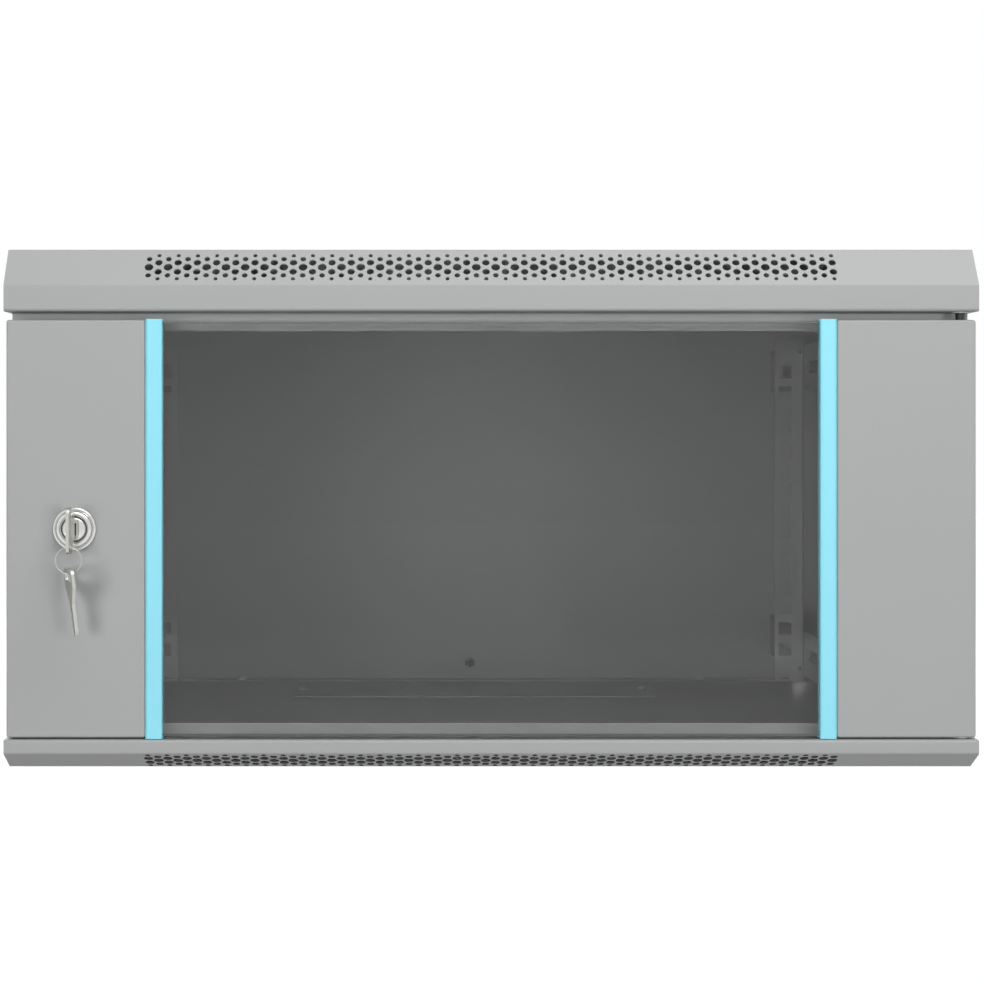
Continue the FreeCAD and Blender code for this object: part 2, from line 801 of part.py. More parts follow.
def headed_pin(seat_z, reach):
    """Hinge pin with its head under a sheet and its shank standing up through it."""
    head_diameter, head_height = pin_head
    low_z = seat_z - head_height
    head = bar(pin_head_sides, head_diameter / 2, (hinge_x, hinge_y, low_z), (hinge_x, hinge_y, seat_z))
    shank = rod(pin_diameter / 2, (hinge_x, hinge_y, seat_z), (hinge_x, hinge_y, seat_z + reach))
    return head.fuse(shank)


# ---------------------------------------------------------------- lock

def turned(profile):
    """Solid turned about the lock's axis from flat (radius, y) points."""
    points = [Vector(lock_x + radius, y, lock_z) for radius, y in profile + profile[:1]]
    return Part.Face(Part.makePolygon(points)).revolve(Vector(lock_x, 0, lock_z), Vector(0, 1, 0), 360)


def make_lock_housing():
    """Round rosette on a flatted barrel, bored for the plug."""
    head = plug_head_diameter / 2 + plug_play
    bore = plug_diameter / 2 + plug_play
    rim = rosette_diameter / 2
    seat = plug_y + plug_head_height + plug_play
    rosette = turned([(0, door_y), (rim, door_y), (rim, rosette_y), (0, rosette_y)])
    inside = turned([(0, rosette_y), (head, rosette_y), (head, seat), (bore, seat), (bore, barrel_end_y),
                     (0, barrel_end_y)])
    return rosette.fuse(barrel_section(0, door_y, barrel_end_y)).cut(inside)


def make_lock_nut():
    """Thin nut that clamps the lock to the stile from behind."""
    y = door_y + door_sheet
    body = bar(6, lock_nut_flats / math.sqrt(3), (lock_x, y, lock_z), (lock_x, y + lock_nut_height, lock_z))
    bore = barrel_diameter / 2 / math.cos(math.pi / lock_nut_bore_sides)
    far = y + lock_nut_height
    return body.cut(bar(lock_nut_bore_sides, bore, (lock_x, y, lock_z), (lock_x, far, lock_z)))


def make_lock_plug():
    """Turning core with the keyway in front and a square tail for the cam."""
    head = plug_head_diameter / 2
    body = plug_diameter / 2
    shoulder = plug_y + plug_head_height
    profile = [(0, plug_y), (head, plug_y), (head, shoulder), (body, shoulder), (body, cam_y), (0, cam_y)]
    plug = turned(profile)
    half = plug_tail / 2
    tail = block((lock_x - half, cam_y, lock_z - half), (lock_x + half, cam_y + cam_sheet, lock_z + half))
    wide = key_sheet / 2 + keyway_play
    tall = key_blade / 2 + keyway_play
    bottom = key_tip_y + 2 * keyway_play
    keyway = block((lock_x - wide, plug_y, lock_z - tall), (lock_x + wide, bottom, lock_z + tall))
    thread = shank_bar(cam_screw_size[0], (lock_x, cam_y + cam_sheet, lock_z),
                       (lock_x, cam_y + cam_sheet - cam_screw_depth, lock_z))
    return plug.fuse(tail).cut([keyway, thread])


def make_lock_cam():
    """Tongue that turns behind the jamb; it hangs down when the door is free."""
    centre = (lock_z + (cam_width / 2 - cam_length) / 2, lock_x)
    plate = clipped_bar(cam_length + cam_width / 2, cam_width, centre, cam_sheet / 2,
                        lambda z, x: Vector(x, cam_y + cam_sheet / 2, z))
    return plate.cut(square_cutter(plug_tail + 2 * plug_play, lock_x, lock_z, cam_y, cam_sheet))


def make_cam_screw():
    """Screw that holds the cam on the plug's tail."""
    return screw(cam_screw_size, (lock_x, cam_y + cam_sheet, lock_z), (0, -1, 0), cam_screw_depth - fit_gap)


def make_key():
    """Flat key standing on its tip at the origin, its sheet centred on x = 0."""
    blade = key_blade / 2
    bow = key_bow_width / 2
    tip = key_blade / 3
    bow_start = key_blade_length + key_taper
    half = [(tip / 2, 0), (blade, tip), (blade, key_blade_length), (bow, bow_start), (bow, key_length)]
    points = half + [(-across, up) for across, up in half[::-1]]
    radii = [0, 0, 0] + 4 * [key_corner] + [0, 0, 0]
    outline = rounded_face(points, radii, side_view(-key_sheet / 2))
    key = outline.extrude(Vector(key_sheet, 0, 0))
    cutters = [clipped_bar(key_slot_width, key_slot_height, (0, key_slot_level), key_sheet, side_view(0))]
    step = (key_blade_length - tip) / (len(key_cut_depths) + 1)
    for index, depth in enumerate(key_cut_depths):
        z = tip + (index + 1) * step
        reach = (depth + cut_past) * key_cut_slope
        past = blade + cut_past
        notch = [(blade - depth, z), (past, z - reach), (past, z + reach)]
        place = side_view(-key_sheet)
        face = Part.Face(Part.makePolygon([place(*point) for point in notch + notch[:1]]))
        cutters.append(face.extrude(Vector(2 * key_sheet, 0, 0)))
    return key.cut(cutters)


def make_inserted_key():
    """The key in the lock, its blade level and its bow in front."""
    key = make_key()
    key.rotate(Vector(0, 0, 0), Vector(1, 0, 0), 90)
    key.translate(Vector(lock_x, key_tip_y, lock_z))
    return key


def make_key_ring():
    """Closed wire ring that hangs over the rim of the inserted key's slot, in short straight facets."""
    middle = Vector(lock_x, ring_y, (ring_top_z + ring_bottom_z) / 2)

    def corner(step, side):
        around = 2 * math.pi * (step + 0.5) / ring_steps
        across = 2 * math.pi * (side + 0.5) / ring_sides
        radius = (ring_diameter + ring_wire * math.cos(across)) / 2
        rise = ring_wire / 2 * math.sin(across)
        return middle + Vector(radius * math.cos(around), rise, radius * math.sin(around))

    faces = []
    for step in range(ring_steps):
        for side in range(ring_sides):
            ends = ((step, side), (step + 1, side), (step + 1, side + 1), (step, side + 1))
            quad = [corner(*end) for end in ends]
            faces.append(Part.Face(Part.makePolygon(quad + quad[:1])))
    return Part.Solid(Part.Shell(faces))


def make_spare_key():
    """Second key, hanging by its slot from the bottom of the ring."""
    key = make_key()
    hang = key_slot_level + key_slot_height / 2
    key.translate(Vector(0, 0, -hang))
    key.rotate(Vector(0, 0, 0), Vector(0, 0, 1), spare_key_twist)
    key.rotate(Vector(0, 0, 0), Vector(0, 1, 0), -spare_key_lean)
    key.translate(Vector(lock_x, ring_y, ring_bottom_z + ring_wire / 2 + ring_play))
    return key


# ---------------------------------------------------------------- the parts

right_side_panel = make_right_side_panel()
export("top_frame", make_top_frame())
export("bottom_frame", make_bottom_frame())
export("right_side_panel", right_side_panel)
export("left_side_panel", mirrored(right_side_panel))
export("back_panel", make_back_panel())
export("top_cable_plate", make_cable_plate(ceiling_z - cable_plate_sheet))
export("bottom_cable_plate", make_cable_plate(floor_z))
export("cable_plate_screws", make_cable_plate_screws())
export("frame_screws", make_frame_screws())
export("back_panel_screws", make_back_panel_screws())
export("earth_stud", make_earth_stud())
export("earth_nut", make_earth_nut())

for place, face_y in (("front", front_rail_y), ("rear", rear_rail_y)):
    rail = make_right_rail(face_y)
    export(place + "_rail_right", rail)
    export(place + "_rail_left", mirrored(rail))
lower_bracket = make_right_bracket()
upper_bracket = lower_bracket.mirror(Vector(0, 0, rail_middle_z()), Vector(0, 0, 1))
for place, bracket in (("lower", lower_bracket), ("upper", upper_bracket)):
    export(place + "_bracket_right", bracket)
    export(place + "_bracket_left", mirrored(bracket))
export("rail_bolts", make_rail_bolts())
export("rail_nuts", make_rail_nuts())
export("bracket_screws", make_bracket_screws())

export("upper_hinge_bush", flanged_bush(top_band_z, 1))
export("lower_hinge_pin", headed_pin(ledge_z - frame_sheet, frame_sheet + lower_pin_reach))

export("door_lock_stile", make_lock_stile())
export("door_hinge_stile", make_hinge_stile())
export("door_glass", make_glass())
right_strip = make_right_strip()
export("edge_strip_right", right_strip)
export("edge_strip_left", mirrored(right_strip))
export("upper_hinge_pin", headed_pin(door_top_z - door_sheet, door_sheet + upper_pin_reach))
export("lower_hinge_bush", flanged_bush(door_bottom_z, 1))

export("lock_housing", make_lock_housing())
export("lock_nut", make_lock_nut())
export("lock_plug", make_lock_plug())
export("lock_cam", make_lock_cam())
export("cam_screw", make_cam_screw())
export("key", make_inserted_key())
export("key_ring", make_key_ring())
export("spare_key", make_spare_key())
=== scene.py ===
# %% [markdown]
# # A wall mount network cabinet
# The cabinet is bent from thin steel, powder coated light grey, and has a glass door between two steel
# stiles. This file dresses the solids that the workshop made: it loads them, gives every piece a finish and
# makes the pieces whose small forms matter again, finer. It could all be drawn by hand, but values and short
# helpers keep each size in one place.

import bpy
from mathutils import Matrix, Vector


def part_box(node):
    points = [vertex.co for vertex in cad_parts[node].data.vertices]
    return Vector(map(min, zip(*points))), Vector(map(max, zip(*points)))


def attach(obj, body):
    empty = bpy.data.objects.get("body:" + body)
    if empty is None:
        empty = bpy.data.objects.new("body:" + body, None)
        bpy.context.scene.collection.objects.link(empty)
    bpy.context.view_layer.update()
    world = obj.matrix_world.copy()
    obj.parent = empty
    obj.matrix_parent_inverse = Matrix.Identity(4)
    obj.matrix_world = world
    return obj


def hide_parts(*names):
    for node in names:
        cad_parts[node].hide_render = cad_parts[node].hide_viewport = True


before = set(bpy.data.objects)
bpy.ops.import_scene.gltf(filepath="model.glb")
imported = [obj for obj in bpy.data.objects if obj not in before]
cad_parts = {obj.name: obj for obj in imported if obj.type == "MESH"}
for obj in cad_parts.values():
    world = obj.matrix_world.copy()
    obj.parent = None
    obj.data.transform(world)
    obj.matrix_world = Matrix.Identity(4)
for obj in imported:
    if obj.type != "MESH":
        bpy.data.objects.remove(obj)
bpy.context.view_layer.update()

# %% Tools and the unit
import math

import bmesh
import bpy
from mathutils import Matrix, Vector

MM = 0.001
ROOT, DOOR, CORE = "cabinet", "door", "lock_core"
print("one millimetre is", MM, "of Blender's metres")

# %% [markdown]
# ## Helpers for plain meshes
# Every finished piece sits at the origin with its place in its mesh. Modifiers are turned into plain geometry
# as soon as they have done their work. Weighted normals keep wide faces flat beside small rounded edges,
# which is what bent sheet looks like.

# %% Making and settling a mesh
def new_object(name, mesh):
    """Link a mesh into the scene at the origin."""
    piece = bpy.data.objects.new(name, mesh)
    bpy.context.scene.collection.objects.link(piece)
    return piece


def mesh_from(name, points, faces):
    """A mesh from points in millimetres."""
    mesh = bpy.data.meshes.new(name)
    mesh.from_pydata([[c * MM for c in point] for point in points], [], faces)
    mesh.update()
    return mesh


def outward(mesh, merge=1e-6):
    """Merge doubles and turn every face outwards."""
    work = bmesh.new()
    work.from_mesh(mesh)
    bmesh.ops.remove_doubles(work, verts=work.verts, dist=merge)
    bmesh.ops.recalc_face_normals(work, faces=work.faces)
    work.to_mesh(mesh)
    work.free()
    return mesh


def settle(piece):
    """Replace a piece's modifiers by the mesh that they make."""
    bpy.context.view_layer.update()
    graph = bpy.context.evaluated_depsgraph_get()
    mesh = bpy.data.meshes.new_from_object(piece.evaluated_get(graph))
    mesh.transform(piece.matrix_world)
    piece.modifiers.clear()
    piece.matrix_world = Matrix.Identity(4)
    piece.data = mesh
    return piece


def crisp(piece, angle=32.0):
    """Smooth the small rounds of a piece and keep its wide faces flat."""
    piece.data.shade_smooth()
    piece.data.set_sharp_from_angle(angle=math.radians(angle))
    weigh = piece.modifiers.new("Flat faces", "WEIGHTED_NORMAL")
    weigh.keep_sharp = True
    weigh.weight = 100
    return settle(piece)


def joined(name, pieces):
    """One object from several."""
    work = bmesh.new()
    for piece in pieces:
        work.from_mesh(piece.data)
    mesh = bpy.data.meshes.new(name)
    work.to_mesh(mesh)
    work.free()
    for material in pieces[0].data.materials:
        mesh.materials.append(material)
    for piece in pieces:
        bpy.data.objects.remove(piece)
    return new_object(name, mesh)


def cut(piece, tools, operation="DIFFERENCE"):
    """Cut a piece with other meshes and delete those."""
    for tool in tools:
        change = piece.modifiers.new("Cut", "BOOLEAN")
        change.operation = operation
        change.solver = "EXACT"
        change.object = tool
    settle(piece)
    for tool in tools:
        bpy.data.objects.remove(tool)
    return piece


def paint(piece, *materials):
    """Give a piece its materials, the main one first."""
    piece.data.materials.clear()
    for material in materials:
        piece.data.materials.append(material)
    return piece


def trim(piece, chosen):
    """Give a piece's second material to the faces that a test picks, and count them."""
    picked = [face for face in piece.data.polygons if chosen(face)]
    for face in picked:
        face.material_index = 1
    return len(picked)


def dress(piece, body, node):
    """Let a piece ride on a body and stand for a solid, which it hides."""
    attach(piece, body)
    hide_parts(node)
    return piece


print("helpers for meshes are ready")

# %% [markdown]
# ## Flat shapes with rounded corners
# Bent sheet, profiles and plates all start as a flat outline with rounded corners. One function rounds the
# corners of a line of points, and the others pull the outline to its length.

# %% Outlines
def direction(start, end):
    """Unit step between two flat points."""
    length = math.hypot(end[0] - start[0], end[1] - start[1])
    return (end[0] - start[0]) / length, (end[1] - start[1]) / length


def rounded(points, radii, steps=5):
    """An open line whose inner corners are rounded."""
    line = [points[0]]
    for before, corner, after, radius in zip(points, points[1:], points[2:], radii):
        one, two = direction(before, corner), direction(corner, after)
        turn = math.acos(max(-1.0, min(1.0, one[0] * two[0] + one[1] * two[1])))
        if radius <= 0 or turn < 1e-6:
            line.append(corner)
            continue
        side = 1 if one[0] * two[1] - one[1] * two[0] > 0 else -1
        back = radius * math.tan(turn / 2)
        first = (corner[0] - one[0] * back, corner[1] - one[1] * back)
        middle = (first[0] - side * one[1] * radius, first[1] + side * one[0] * radius)
        for step in range(steps + 1):
            angle = side * turn * step / steps
            across, along = first[0] - middle[0], first[1] - middle[1]
            line.append((middle[0] + across * math.cos(angle) - along * math.sin(angle),
                         middle[1] + across * math.sin(angle) + along * math.cos(angle)))
    line.append(points[-1])
    return line


def rounded_loop(points, radii, steps=5):
    """A closed outline with one radius for each corner."""
    middle = ((points[0][0] + points[-1][0]) / 2, (points[0][1] + points[-1][1]) / 2)
    return rounded([middle, *points, middle], radii, steps)[:-1]


def offset(points, distance):
    """The line moved to its left, with mitred corners."""
    steps = [direction(a, b) for a, b in zip(points, points[1:])]
    moved = []
    for point, one, two in zip(points, [steps[0]] + steps, steps + [steps[-1]]):
        share = distance / (1 + one[0] * two[0] + one[1] * two[1])
        moved.append((point[0] - share * (one[1] + two[1]), point[1] + share * (one[0] + two[0])))
    return moved


def pulled(name, outline, place, low, high):
    """Pull a closed outline from one level to another; place turns (a, b, level) into x, y, z."""
    count = len(outline)
    points = [place(a, b, level) for level in (low, high) for a, b in outline]
    faces = [list(range(count)), list(range(count, 2 * count))]
    faces += [[i, (i + 1) % count, (i + 1) % count + count, i + count] for i in range(count)]
    return new_object(name, outward(mesh_from(name, points, faces)))


def along_x(a, b, level):
    return level, a, b


def along_y(a, b, level):
    return a, level, b


def along_z(a, b, level):
    return a, b, level


def corners_of(low, high):
    """The corners of a flat rectangle, anticlockwise."""
    return [(low[0], low[1]), (high[0], low[1]), (high[0], high[1]), (low[0], high[1])]


def circle(centre, radius, count=16):
    """Points round a flat circle."""
    turns = [2 * math.pi * step / count for step in range(count)]
    return [(centre[0] + radius * math.cos(turn), centre[1] + radius * math.sin(turn)) for turn in turns]


print("outline helpers are ready")

# %% Boxes, plates with holes and turned pieces
def box(name, low, high, bevel=0.0, steps=3):
    """A box between two corners, with its edges rounded if asked."""
    piece = pulled(name, corners_of(low, high), along_z, low[2], high[2])
    if bevel:
        edge = piece.modifiers.new("Edge", "BEVEL")
        edge.width = bevel * MM
        edge.segments = steps
        settle(piece)
    return piece


def plate(name, outlines, thickness, bevel, turn=Matrix.Identity(4)):
    """A plate with holes from flat outlines, centred on its own plane, with a small ground edge."""
    drawing = bpy.data.curves.new(name, "CURVE")
    drawing.dimensions = "2D"
    drawing.fill_mode = "BOTH"
    drawing.extrude = (thickness / 2 - bevel) * MM
    drawing.bevel_depth = bevel * MM
    drawing.bevel_resolution = 1
    drawing.offset = -bevel * MM
    for outline in outlines:
        spline = drawing.splines.new("POLY")
        spline.points.add(len(outline) - 1)
        for point, (a, b) in zip(spline.points, outline):
            point.co = (a * MM, b * MM, 0, 1)
        spline.use_cyclic_u = True
    source = new_object(name + " drawing", drawing)
    bpy.context.view_layer.update()
    mesh = bpy.data.meshes.new_from_object(source.evaluated_get(bpy.context.evaluated_depsgraph_get()))
    bpy.data.objects.remove(source)
    mesh.name = name
    mesh.transform(turn)
    return new_object(name, outward(mesh, 1e-7))


def turned(name, profile, centre, segments=64):
    """Turn a closed profile of (radius, y) about an axis along Y through centre (x, z)."""
    points, faces, rings = [], [], []
    for radius, y in profile:
        if radius == 0:
            rings.append([len(points)] * segments)
            points.append((centre[0], y, centre[1]))
            continue
        rings.append(list(range(len(points), len(points) + segments)))
        points += [(x, y, z) for x, z in circle(centre, radius, segments)]
    for one, two in zip(rings, rings[1:] + rings[:1]):
        for step in range(segments):
            after = (step + 1) % segments
            corners = [one[step], one[after], two[after], two[step]]
            face = [c for i, c in enumerate(corners) if c not in corners[:i]]
            if len(face) > 2:
                faces.append(face)
    return new_object(name, outward(mesh_from(name, points, faces)))


print("box, plate and lathe are ready")

# %% [markdown]
# ## Finishes
# Powder coat is not one even colour: it has a fine orange peel, and its tone and gloss drift a little over
# the sheet. A node group makes that drift once, with inputs for its scale and depth, and each material places
# it with values of its own. The group puts out a colour, a roughness and a normal. The shader stays outside
# it. Helpers make a tree with its sockets and add a node that is already fed.

# %% Helpers for node trees
def new_tree(name, kind, inputs, outputs):
    """A node group with named sockets; returns it, its input sockets and its output sockets."""
    tree = bpy.data.node_groups.new(name, kind)
    for label, socket_type, value in inputs:
        socket = tree.interface.new_socket(name=label, in_out="INPUT", socket_type=socket_type)
        if value is not None:
            socket.default_value = value
    for label, socket_type in outputs:
        tree.interface.new_socket(name=label, in_out="OUTPUT", socket_type=socket_type)
    return tree, tree.nodes.new("NodeGroupInput").outputs, tree.nodes.new("NodeGroupOutput").inputs


def add(tree, kind, *values, operation=None, **named):
    """Add a node and feed its inputs, by place or by name: a socket is linked, a value is written in."""
    made = tree.nodes.new(kind)
    if operation:
        made.operation = operation
    fed = list(zip(made.inputs, values))
    fed += [(made.inputs[label.replace("_", " ")], value) for label, value in named.items()]
    for socket, value in fed:
        if isinstance(value, bpy.types.NodeSocket):
            tree.links.new(value, socket)
        else:
            socket.default_value = value
    return made


def maths(tree, operation, *values):
    """The result of one Math node."""
    return add(tree, "ShaderNodeMath", *values, operation=operation).outputs[0]


FLOAT, VECTOR, COLOR = "NodeSocketFloat", "NodeSocketVector", "NodeSocketColor"
COUNT, SHAPE, MATERIAL = "NodeSocketInt", "NodeSocketGeometry", "NodeSocketMaterial"
print("node helpers are ready")

# %% Surface group
def surface_group():
    """Tone, gloss and relief that change a little over a surface."""
    inputs = [("Color", COLOR, (0.5, 0.5, 0.5, 1)), ("Tone drift", FLOAT, 0.04), ("Gloss low", FLOAT, 0.4),
              ("Gloss high", FLOAT, 0.5), ("Cloud scale", FLOAT, 6.0), ("Grain scale", FLOAT, 900.0),
              ("Grain depth", FLOAT, 0.1), ("Stretch", VECTOR, (1, 1, 1))]
    outputs = [("Color", COLOR), ("Roughness", FLOAT), ("Normal", VECTOR)]
    group, given, result = new_tree("Worked surface", "ShaderNodeTree", inputs, outputs)
    where = add(group, "ShaderNodeTexCoord").outputs["Object"]
    stretch = add(group, "ShaderNodeVectorMath", where, given["Stretch"], operation="MULTIPLY")
    cloud = add(group, "ShaderNodeTexNoise", Vector=where, Scale=given["Cloud scale"], Detail=3)
    grain = add(group, "ShaderNodeTexNoise", Vector=stretch.outputs[0], Scale=given["Grain scale"], Detail=2)
    centred = maths(group, "SUBTRACT", cloud.outputs["Fac"], 0.5)
    drift = maths(group, "MULTIPLY_ADD", centred, given["Tone drift"], 1.0)
    tone = add(group, "ShaderNodeVectorMath", given["Color"], operation="SCALE", Scale=drift)
    gloss = add(group, "ShaderNodeMapRange", Value=grain.outputs["Fac"], To_Min=given["Gloss low"],
                To_Max=given["Gloss high"])
    bump = add(group, "ShaderNodeBump", Strength=given["Grain depth"], Distance=0.0002,
               Height=grain.outputs["Fac"])
    group.links.new(tone.outputs[0], result["Color"])
    group.links.new(gloss.outputs["Result"], result["Roughness"])
    group.links.new(bump.outputs["Normal"], result["Normal"])
    return group


surface = surface_group()
print("surface group inputs:", [s.name for s in surface.interface.items_tree if s.in_out == "INPUT"])

# %% One material from the group
def finish(name, color, drift, gloss, cloud, grain, depth, stretch=(1, 1, 1), relief=True, **sockets):
    """A Principled material that takes its colour, roughness and relief from the surface group.

    The values are the tone's drift, the lowest and highest roughness, the scales of clouds and grain, and the
    grain's depth and stretch. Other sockets are set on the shader itself.
    """
    material = bpy.data.materials.new(name)
    material.use_nodes = True
    tree = material.node_tree
    shader = tree.nodes["Principled BSDF"]
    place = tree.nodes.new("ShaderNodeGroup")
    place.node_tree = surface
    for socket, value in zip(place.inputs, ((*color, 1), drift, *gloss, cloud, grain, depth, stretch)):
        socket.default_value = value
    tree.links.new(place.outputs["Color"], shader.inputs["Base Color"])
    tree.links.new(place.outputs["Roughness"], shader.inputs["Roughness"])
    if relief:
        tree.links.new(place.outputs["Normal"], shader.inputs["Normal"])
    for label, value in sockets.items():
        shader.inputs[label.replace("_", " ")].default_value = value
    return material


powder_coat = finish("Light grey powder coat", (0.435, 0.4425, 0.4405), 0.06, (0.42, 0.56), 5.0, 700.0, 0.12,
                     Specular_IOR_Level=0.35)
blue_plastic = finish("Light blue strip", (0.33, 0.85, 1.0), 0.04, (0.28, 0.34), 9.0, 400.0, 0.015,
                      (1, 1, 0.3))
chrome = finish("Chrome", (0.64, 0.645, 0.63), 0.06, (0.05, 0.12), 60.0, 900.0, 0.02, Metallic=1.0)
nickel = finish("Nickel plate", (0.54, 0.545, 0.50), 0.12, (0.24, 0.36), 80.0, 1200.0, 0.05, (1, 1, 0.1),
                Metallic=1.0)
zinc = finish("Zinc plate", (0.66, 0.67, 0.69), 0.25, (0.28, 0.42), 120.0, 1500.0, 0.06, Metallic=1.0)
black_zinc = finish("Black zinc plate", (0.07, 0.07, 0.075), 0.2, (0.35, 0.5), 120.0, 1500.0, 0.06,
                    Metallic=1.0)
nylon = finish("Natural nylon", (0.80, 0.79, 0.74), 0.05, (0.45, 0.55), 50.0, 1200.0, 0.05)
ground_edge = finish("Ground glass edge", (0.15, 0.18, 0.17), 0.1, (0.45, 0.6), 30.0, 900.0, 0.08)
# The near-black colour for the floor cover's vent walls is painted shade: it stands for the dark inside the
# holes.
painted_vent_shade = finish("Painted vent shade", (0.075, 0.077, 0.076), 0.1, (0.5, 0.6), 60.0, 900.0, 0.05)
# The near-black keyway colour is painted shade for the dark inside of the slot.
painted_keyway_shade = finish("Painted keyway shade", (0.035, 0.034, 0.032), 0.2, (0.45, 0.6), 200.0, 1500.0, 0.05)
print("finishes:", [material.name for material in bpy.data.materials])

# %% [markdown]
# ## Smoked glass
# The pane is toughened glass with a grey tint. Transmission at full weight with a grey colour darkens what
# lies behind it twice, once at each face. A painted film would be cheaper but would lose the ground edge.

# %% Glass material
TINT = 0.878
smoked_glass = finish("Smoked glass", (TINT, TINT, TINT), 0.03, (0.0, 0.02), 4.0, 40.0, 0.0, relief=False,
                      Transmission_Weight=1.0, IOR=1.36)
print("glass tint:", TINT)

# %% [markdown]
# ## Sizes of the cabinet
# The places that several pieces share are read from the solids, so that a finer piece always lands where the
# solid is. Only sizes that can't be read from a box are written here: the steel is SHEET thick, and the lips
# of both covers stand a STEP behind the front.

# %% Read places from the solids
def node_box(name):
    """Lowest and highest corner of a solid, in millimetres."""
    low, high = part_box(name)
    return [c / MM for c in low], [c / MM for c in high]


roof_low, roof_high = node_box("top_frame")
half_width = round(roof_high[0], 0)
front = round(roof_low[1], 0)
top = round(roof_high[2], 2)
SHEET, STEP = 1.2, 22.0
print("cabinet: half width", half_width, "front", front, "top", top)

# %% [markdown]
# ## The perforated covers
# The roof and the floor are the same idea: one sheet folded into a flat, a slope, a band and a flange, with
# an end plate welded on each side. The slopes are perforated with rows of round holes whose size falls
# towards the edges. The holes follow a rule, so Geometry Nodes place them: lines of cylinders, one line for
# each row, cut out of the folded sheet in one step.

# %% Folded sheet
def folded(name, line, bend=0.8):
    """A folded sheet to the left of a flat (y, z) line, between the end plates."""
    steps = [direction(a, b) for a, b in zip(line, line[1:])]
    left = [one[0] * two[1] - one[1] * two[0] > 0 for one, two in zip(steps, steps[1:])]
    outer = rounded(line, [bend + SHEET if turn else bend for turn in left])
    inner = rounded(offset(line, SHEET), [bend if turn else bend + SHEET for turn in left])
    return pulled(name, outer + inner[::-1], along_x, SHEET - half_width, half_width - SHEET)


def end_plates(name, outline, radii):
    """Both end plates of a cover."""
    loop = rounded_loop(outline, radii)
    return [pulled(name, loop, along_x, low, low + SHEET) for low in (-half_width, half_width - SHEET)]


SLOPE_DEPTH, SLOPE_DROP, BAND_DROP, LIP = 15.7, 23.0, 39.3, 11.1
LOW_SLOPE_DEPTH, LOW_SLOPE_RISE, LEDGE_RISE, LOW_LIP = 20.0, 10.9, 19.5, 7.5
slope_top = [(front + SLOPE_DEPTH, top), (front, top - SLOPE_DROP)]
band_top = top - BAND_DROP
roof_line = [(0, top), *slope_top, (front, band_top), (front + STEP, band_top),
             (front + STEP, band_top - LIP)]
roof_sheet = folded("roof_cover", roof_line)
slope_low = [(front, -top + LOW_SLOPE_RISE), (front + LOW_SLOPE_DEPTH, -top)]
ledge = -top + LEDGE_RISE
floor_line = [(front + STEP, ledge + LOW_LIP), (front + STEP, ledge), (front, ledge), *slope_low, (0, -top)]
floor_sheet = folded("floor_cover", floor_line)
print("roof sheet faces:", len(roof_sheet.data.polygons),
      "floor sheet faces:", len(floor_sheet.data.polygons))

# %% Geometry Nodes tree for the perforations
def close_tree(tree, source, material, target):
    """End a tree in Realize Instances and Set Material."""
    real = add(tree, "GeometryNodeRealizeInstances", Geometry=source)
    painted = add(tree, "GeometryNodeSetMaterial", Geometry=real.outputs["Geometry"], Material=material)
    tree.links.new(painted.outputs["Geometry"], target)
    return tree


def spread(tree, points, shape):
    """One shape on every point, as real geometry."""
    place = add(tree, "GeometryNodeInstanceOnPoints", Points=points, Instance=shape)
    return add(tree, "GeometryNodeRealizeInstances", Geometry=place.outputs["Instances"]).outputs["Geometry"]


def minus(tree, body, tools):
    """A body with the tools cut out of it."""
    made = add(tree, "GeometryNodeMeshBoolean", operation="DIFFERENCE", Mesh_1=body, Mesh_2=tools)
    made.solver = "EXACT"
    return made.outputs["Mesh"]


def perforation_tree():
    """Rows of round holes through a sloped sheet."""
    inputs = [("Sheet", SHAPE, None), ("Column pairs", COUNT, 36), ("Pitch", FLOAT, 0.006),
              ("Depth", FLOAT, 0.006), ("Sides", COUNT, 12), ("Middle", VECTOR, (0, 0, 0)),
              ("Tilt", VECTOR, (0, 0, 0)),
              ("Middle hole", FLOAT, 0.0026), ("Near hole", FLOAT, 0.0022), ("Near shift", FLOAT, 0.0036),
              ("Far hole", FLOAT, 0.0017), ("Far shift", FLOAT, 0.0064), ("Edge hole", FLOAT, 0.0013),
              ("Edge shift", FLOAT, 0.0091), ("Coat", MATERIAL, None)]
    tree, given, result = new_tree("Perforated slope", "GeometryNodeTree", inputs, [("Sheet", SHAPE)])
    pitch = given["Pitch"]
    start = maths(tree, "MULTIPLY", maths(tree, "SUBTRACT", 0.5, given["Column pairs"]), pitch)
    next_column = maths(tree, "ADD", start, pitch)
    stride = add(tree, "ShaderNodeCombineXYZ", maths(tree, "MULTIPLY", pitch, 2.0)).outputs[0]
    rows = [("Middle", start, 0)]
    rows += [(kind, column, sign)
             for kind, column in (("Near", next_column), ("Far", start), ("Edge", next_column))
             for sign in (-1, 1)]
    gather = tree.nodes.new("GeometryNodeJoinGeometry")
    for kind, column, sign in rows:
        level = maths(tree, "MULTIPLY", given[kind + " shift"], sign) if sign else 0.0
        first = add(tree, "ShaderNodeCombineXYZ", column, level).outputs[0]
        line = add(tree, "GeometryNodeMeshLine", Count=given["Column pairs"], Start_Location=first,
                   Offset=stride)
        tool = add(tree, "GeometryNodeMeshCylinder", Vertices=given["Sides"], Radius=given[kind + " hole"],
                   Depth=given["Depth"])
        place = add(tree, "GeometryNodeInstanceOnPoints", Points=line.outputs["Mesh"],
                    Instance=tool.outputs["Mesh"])
        tree.links.new(place.outputs["Instances"], gather.inputs["Geometry"])
    solid = add(tree, "GeometryNodeRealizeInstances", Geometry=gather.outputs["Geometry"]).outputs["Geometry"]
    lean = add(tree, "GeometryNodeTransform", Geometry=solid, Translation=given["Middle"],
               Rotation=given["Tilt"])
    drilled = minus(tree, given["Sheet"], lean.outputs["Geometry"])
    return close_tree(tree, drilled, given["Coat"], result["Sheet"])


